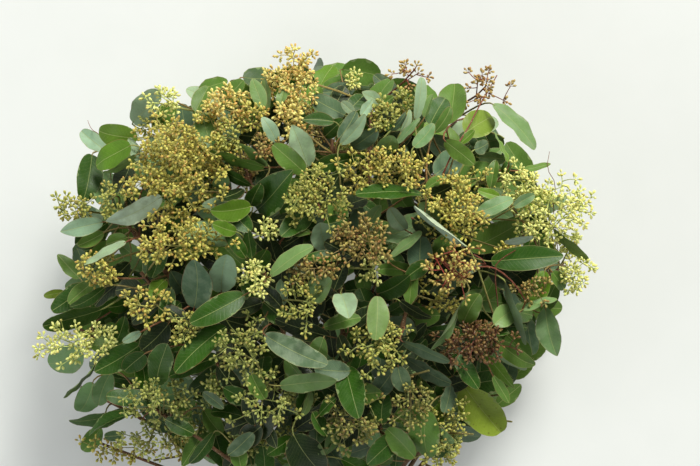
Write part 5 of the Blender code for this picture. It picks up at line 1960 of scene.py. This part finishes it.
VEIN_PITCH = 4.4
VEIN_LEAN = 0.8
VEIN_WANDER = 7.0
# Across a blade, in millimetres: where the midrib, margin, veins and vein loops end.
MIDRIB_SPAN = (0.12, 0.42)
MARGIN_SPAN = (0.15, 0.5)
VEINED_SPAN = (0.7, 2.2)
LOOP_INSET = 1.5
# How strongly each shows in the colour, and stands out in the relief.
MIDRIB_SHARES = (0.62, 1.0)
UPPER_VEINS = 0.2
UNDER_VEINS = 0.36
VEIN_RELIEF = 0.4
NET_SHARES = (0.14, 0.12)
MARGIN_SHARE = 0.6
LEAF_RELIEF = 0.16
LEAF_GLOSS = 0.22


def leaf_look(name, tone, underside):
    """Blade with midrib, side veins, margin, bloom and spots, in the leaf's own millimetres."""
    look = Look(name)
    along, across, rim = look.split(look.attribute("leaf", "Vector"))
    red, spots, bloom = look.split(look.attribute("traits", "Vector"))
    place = look.join(along, across, look.attribute(tone, "Alpha") * 900.0)
    broad = look.noise(place, 17.0)
    fine = look.noise(place, 2.2, 4.0)
    out = abs(across)
    midrib = look.fade(out, *MIDRIB_SPAN)
    lead = along - out * VEIN_LEAN + broad * VEIN_WANDER
    off = abs(look.maths("FRACT", lead / VEIN_PITCH) - 0.5)
    veins = look.fade(off, 0.0, 0.11) * look.span(rim, *VEINED_SPAN)
    loop = look.fade(abs(rim - LOOP_INSET), 0.1, 0.45)
    veins = look.maths("MAXIMUM", veins, loop * 0.7)
    net = look.fade(look.cells(place, 1.5, "DISTANCE_TO_EDGE"), 0.0, 0.16)
    margin = look.fade(rim, *MARGIN_SPAN)

    shade = (broad * 0.55 + 0.72) * (fine * 0.3 + 0.85)
    colour = look.shaded(look.attribute(tone), shade)
    film = bloom * look.span(look.noise(place, 9.0, 3.0), 0.35, 0.7)
    colour = look.blend(look.maths("MINIMUM", film, 0.8), colour, BLOOM_TONE)
    pale = look.blend(0.36, colour, MIDRIB_TONE)
    colour = look.blend(veins * (UNDER_VEINS if underside else UPPER_VEINS), colour, pale)
    colour = look.blend(net * NET_SHARES[0], colour, pale)
    colour = look.blend(midrib * MIDRIB_SHARES[0], colour, MIDRIB_TONE)
    edge = look.blend(red, MARGIN_PALE, MARGIN_RED)
    colour = look.blend(margin * MARGIN_SHARE, colour, edge)
    specks = look.fade(look.cells(place, 5.5), 0.1, 0.24)
    colour = look.blend(specks * spots, colour, SPOT_TONE)

    rough = fine * 0.2 + (0.5 if underside else 0.3)
    rough = look.maths("ADD", rough, film * 0.35, clamp=True)
    relief = midrib * MIDRIB_SHARES[1] + veins * VEIN_RELIEF + net * NET_SHARES[1]
    look.bump(relief if underside else 1.0 - relief, LEAF_RELIEF)
    return look.surface(colour, rough, specular_ior_level=LEAF_GLOSS)


def nut_look():
    """Gum nuts: mottled, with small rusty specks."""
    look = Look("gum_nut")
    place = look.object_place()
    fine = look.noise(place, 0.9, 3.0)
    shade = fine * 0.5 + 0.5 + look.noise(place, 5.0) * 0.5
    specks = look.fade(look.cells(place, 0.8), 0.08, 0.2, 0.5)
    colour = look.blend(specks, look.shaded(look.attribute("tone"), shade), RUST)
    look.bump(fine, 0.25)
    return look.surface(colour, fine * 0.25 + 0.35, specular_ior_level=0.4)


def bark_look(name, stretch):
    """Thin bark: lengthwise streaks and small pale pores."""
    look = Look(name)
    streaks = look.noise(look.object_place(stretch), 1.0, 3.0)
    place = look.object_place()
    shade = (streaks * 0.9 + 0.5) * (look.noise(place, 14.0) + 0.5)
    pores = look.fade(look.cells(place, 2.4), 0.12, 0.26, 0.55)
    colour = look.blend(pores, look.shaded(look.attribute("tone"), shade), WOOD_PALE)
    look.bump(streaks + pores, 0.35)
    return look.surface(colour, streaks * 0.3 + 0.5, specular_ior_level=0.3)


def wood_look():
    """The cut end of a stem: pale wood with rays."""
    look = Look("cut_wood")
    grain = look.noise(look.object_place(), 0.5, 3.0)
    look.bump(grain, 0.2)
    return look.surface(look.blend(grain, WOOD_PALE, WOOD_RAY), grain * 0.2 + 0.65)


# ------------------------------------------------------------------ stage, light and camera
VIEW_CENTRE = (350.0, 233.0)
VIEW_WIDTH = 700.0
VIEW_LEVEL = 150.0
CAMERA_RISE = 3600.0
CAMERA_END = 60.0
SENSOR = 36.0
# In metres: half the floor's width, how far it lies below the part, the point lit.
FLOOR_HALF = 30.0
FLOOR_DROP = 0.0004
LIT_POINT = (0.0, 0.05, 0.1)
FLOOR_TONES = (linear(199, 203, 200), linear(205, 208, 206))
# FLOOR_GLOW makes the floor glow a little: painted light that lightens the shadows the bunch
# casts on it.
FLOOR_GLOW = (0.17, 0.175, 0.17)
# Lights: name, kind, place, colour, energy, and angle of the sun or side of the window.
WARM = (1.0, 0.98, 0.92)
LIGHTS = (
    ("sun", "SUN", (0.75, 2.3, 2.1), WARM, 2.7, 0.3),
    ("window", "AREA", (1.2, 1.9, 2.0), WARM, 46.0, 1.5),
    ("fill", "AREA", (-1.8, -0.8, 1.4), (0.95, 0.98, 1.0), 16.0, 1.2),
)
# The room: its colour, then the sine of the height over the horizon, from and to, and
# how bright the room is there.
SKY_TONE = (0.99, 0.995, 1.0, 1.0)
SKY = {"From Min": 0.02, "From Max": 0.4, "To Min": 0.85, "To Max": 0.2}


def make_stage():
    mesh = bpy.data.meshes.new("floor")
    half = FLOOR_HALF
    corners = [(-half, -half, 0.0), (half, -half, 0.0), (half, half, 0.0), (-half, half, 0.0)]
    mesh.from_pydata(corners, [], [(0, 1, 2, 3)])
    look = Look("pale_floor")
    colour = look.blend(look.noise(look.object_place(), 60.0, 3.0), *FLOOR_TONES)
    # A faint glow of the floor, painted light that lightens the bunch's shadow on it.
    glow = {"emission_color": FLOOR_GLOW, "emission_strength": 1.0}
    mesh.materials.append(look.surface(colour, 0.6, **glow))
    floor = linked("floor", mesh)
    floor.location.z = -FLOOR_DROP


def make_light(name, kind, place, colour, energy, size):
    """A soft light that shines on the crown."""
    data = bpy.data.lights.new(name, kind)
    if kind == "AREA":
        data.shape = "SQUARE"
        data.size = size
    else:
        data.angle = size
    data.energy = energy
    data.color = colour
    lamp = linked(name, data)
    lamp.location = place
    aim = Vector(LIT_POINT) - Vector(place)
    lamp.rotation_euler = aim.to_track_quat("-Z", "Y").to_euler()


def make_camera():
    """Looks straight down on the crown, a millimetre to a pixel halfway up it."""
    data = bpy.data.cameras.new("camera")
    data.sensor_width = SENSOR
    data.lens = SENSOR * CAMERA_RISE / VIEW_WIDTH
    data.clip_end = CAMERA_END
    camera = linked("camera", data)
    camera.location = board(*VIEW_CENTRE, VIEW_LEVEL + CAMERA_RISE) * MM
    bpy.context.scene.camera = camera


def make_world():
    """A pale room: lighter round the horizon than overhead."""
    world = bpy.data.worlds.new("room")
    world.use_nodes = True
    nodes, links = world.node_tree.nodes, world.node_tree.links
    sky = nodes["Background"]
    place = nodes.new("ShaderNodeTexCoord")
    parts = nodes.new("ShaderNodeSeparateXYZ")
    rise = nodes.new("ShaderNodeMapRange")
    links.new(place.outputs["Generated"], parts.inputs[0])
    links.new(parts.outputs[2], rise.inputs["Value"])
    for name, value in SKY.items():
        rise.inputs[name].default_value = value
    links.new(rise.outputs[0], sky.inputs["Strength"])
    sky.inputs["Color"].default_value = SKY_TONE
    bpy.context.scene.world = world
    bpy.context.scene.view_settings.view_transform = "Standard"


# ------------------------------------------------------------------ the bunch
# Radii along a panicle's stalk, an umbel's branch and a spray.
STALK_RADII = (1.25, 1.1, 0.8)
UMBEL_RADII = (0.8, 0.6)
SPRAY_RADII = (0.65, 0.42)


def dress_sprig(sprig, axes, leaves, looks):
    """Fine stem and leaves of one sprig."""
    stem = Piece(sprig + "_stem", (looks["bark"], looks["wood"]))
    blades = Piece(sprig + "_leaves", (looks["upper"], looks["under"]))
    rng = random.Random(sprig)
    for axis in axes:
        add_axis(stem, axis, [leaf.host.along for leaf in leaves if leaf.host.axis is axis])
    for leaf in leaves:
        add_twig(stem, leaf, rng)
        add_leaf(blades, leaf, rng)
    for piece in (stem, blades):
        if piece.count:
            piece.build(sprig + "_leafy_stem", "leaf_and_stem")


def dress_panicle(panicle, clouds, looks):
    """Fine branches and gum nuts of one panicle, and of the clusters nearest to it."""
    rng = random.Random(panicle.name)
    piece = Piece(panicle.name + "_nuts", (looks["nut"], looks["twig"]))

    def add_stalk(points, radii, tones):
        add_branch(piece, points, radii, mixed(tones[3], BARK_HIGH, 0.4))

    def add_spray(points, radii, buds, tones):
        add_branch(piece, points, radii, tones[3])
        for foot, way in buds:
            add_nut(piece, foot, way, tones, rng)

    tones = in_linear(NUT_TONES[panicle.tone])
    stem_end = panicle.host.axis.at(panicle.host.along)[0]
    add_stalk([stem_end] + panicle.points, STALK_RADII, tones)
    for umbel in panicle.umbels:
        add_spray([umbel.root, umbel.tip], UMBEL_RADII, umbel.buds, tones)
    for cloud in clouds:
        tones = in_linear(NUT_TONES[cloud.tone])
        if cloud.stalk:
            add_stalk(cloud.stalk, cloud.radii, tones)
        for points, buds in cloud.sprays:
            add_spray(points, SPRAY_RADII, buds, tones)
    piece.build(panicle.name, "gum_nut")


def more_leaves(space, axes, sites):
    """All the small leaves that the solids leave out."""
    rng = random.Random(INNER_SEED)
    veil = veil_leaves(space, axes, rng)
    closing = closing_leaves(space, sites, rng)
    return veil + closing + inner_leaves(space, sites, rng)


def all_clouds(panicles, leaves, sites):
    """The clusters that each panicle carries: its own, and free ones nearest to it."""
    growth = Growth()
    for leaf in leaves:
        points, triangles = leaf.strip()
        growth.faces += [tuple(i + len(growth.verts) for i in face) for face in triangles]
        growth.verts += points
    tree = BVHTree.FromPolygons(growth.verts, growth.faces)
    clouds = {}
    for panicle in panicles:
        rng = random.Random(panicle.name + "_sprays")
        clouds[panicle.name] = [panicle_cloud(panicle, tree, rng)]
    free = [free_cloud(spec, sites, tree, random.Random(n)) for n, spec in enumerate(CLUSTERS)]
    for cloud in free + [bare_twig(spec, sites) for spec in BARE_TWIGS]:
        nearest = min(panicles, key=lambda panicle: (panicle.centre - cloud.centre).length)
        clouds[nearest.name].append(cloud)
    return clouds


def main():
    axes, leaves, panicles, space = layout()
    sites = Sites(axes)
    leaves += more_leaves(space, axes, sites)
    clouds = all_clouds(panicles, leaves, sites)
    looks = {
        "upper": leaf_look("leaf_upper", "upper", False),
        "under": leaf_look("leaf_under", "under", True),
        "nut": nut_look(),
        "twig": bark_look("nut_branch", (1.0, 0.4, 1.0)),
        "bark": bark_look("bark", (1.1, 0.12, 1.1)),
        "wood": wood_look(),
    }
    for sprig in sorted({axis.sprig for axis in axes}):
        own = [axis for axis in axes if axis.sprig == sprig]
        carried = [leaf for leaf in leaves if leaf.host.axis.sprig == sprig]
        dress_sprig(sprig, own, carried, looks)
    for panicle in panicles:
        dress_panicle(panicle, clouds[panicle.name], looks)
    make_stage()
    for light in LIGHTS:
        make_light(*light)
    make_camera()
    make_world()


main()
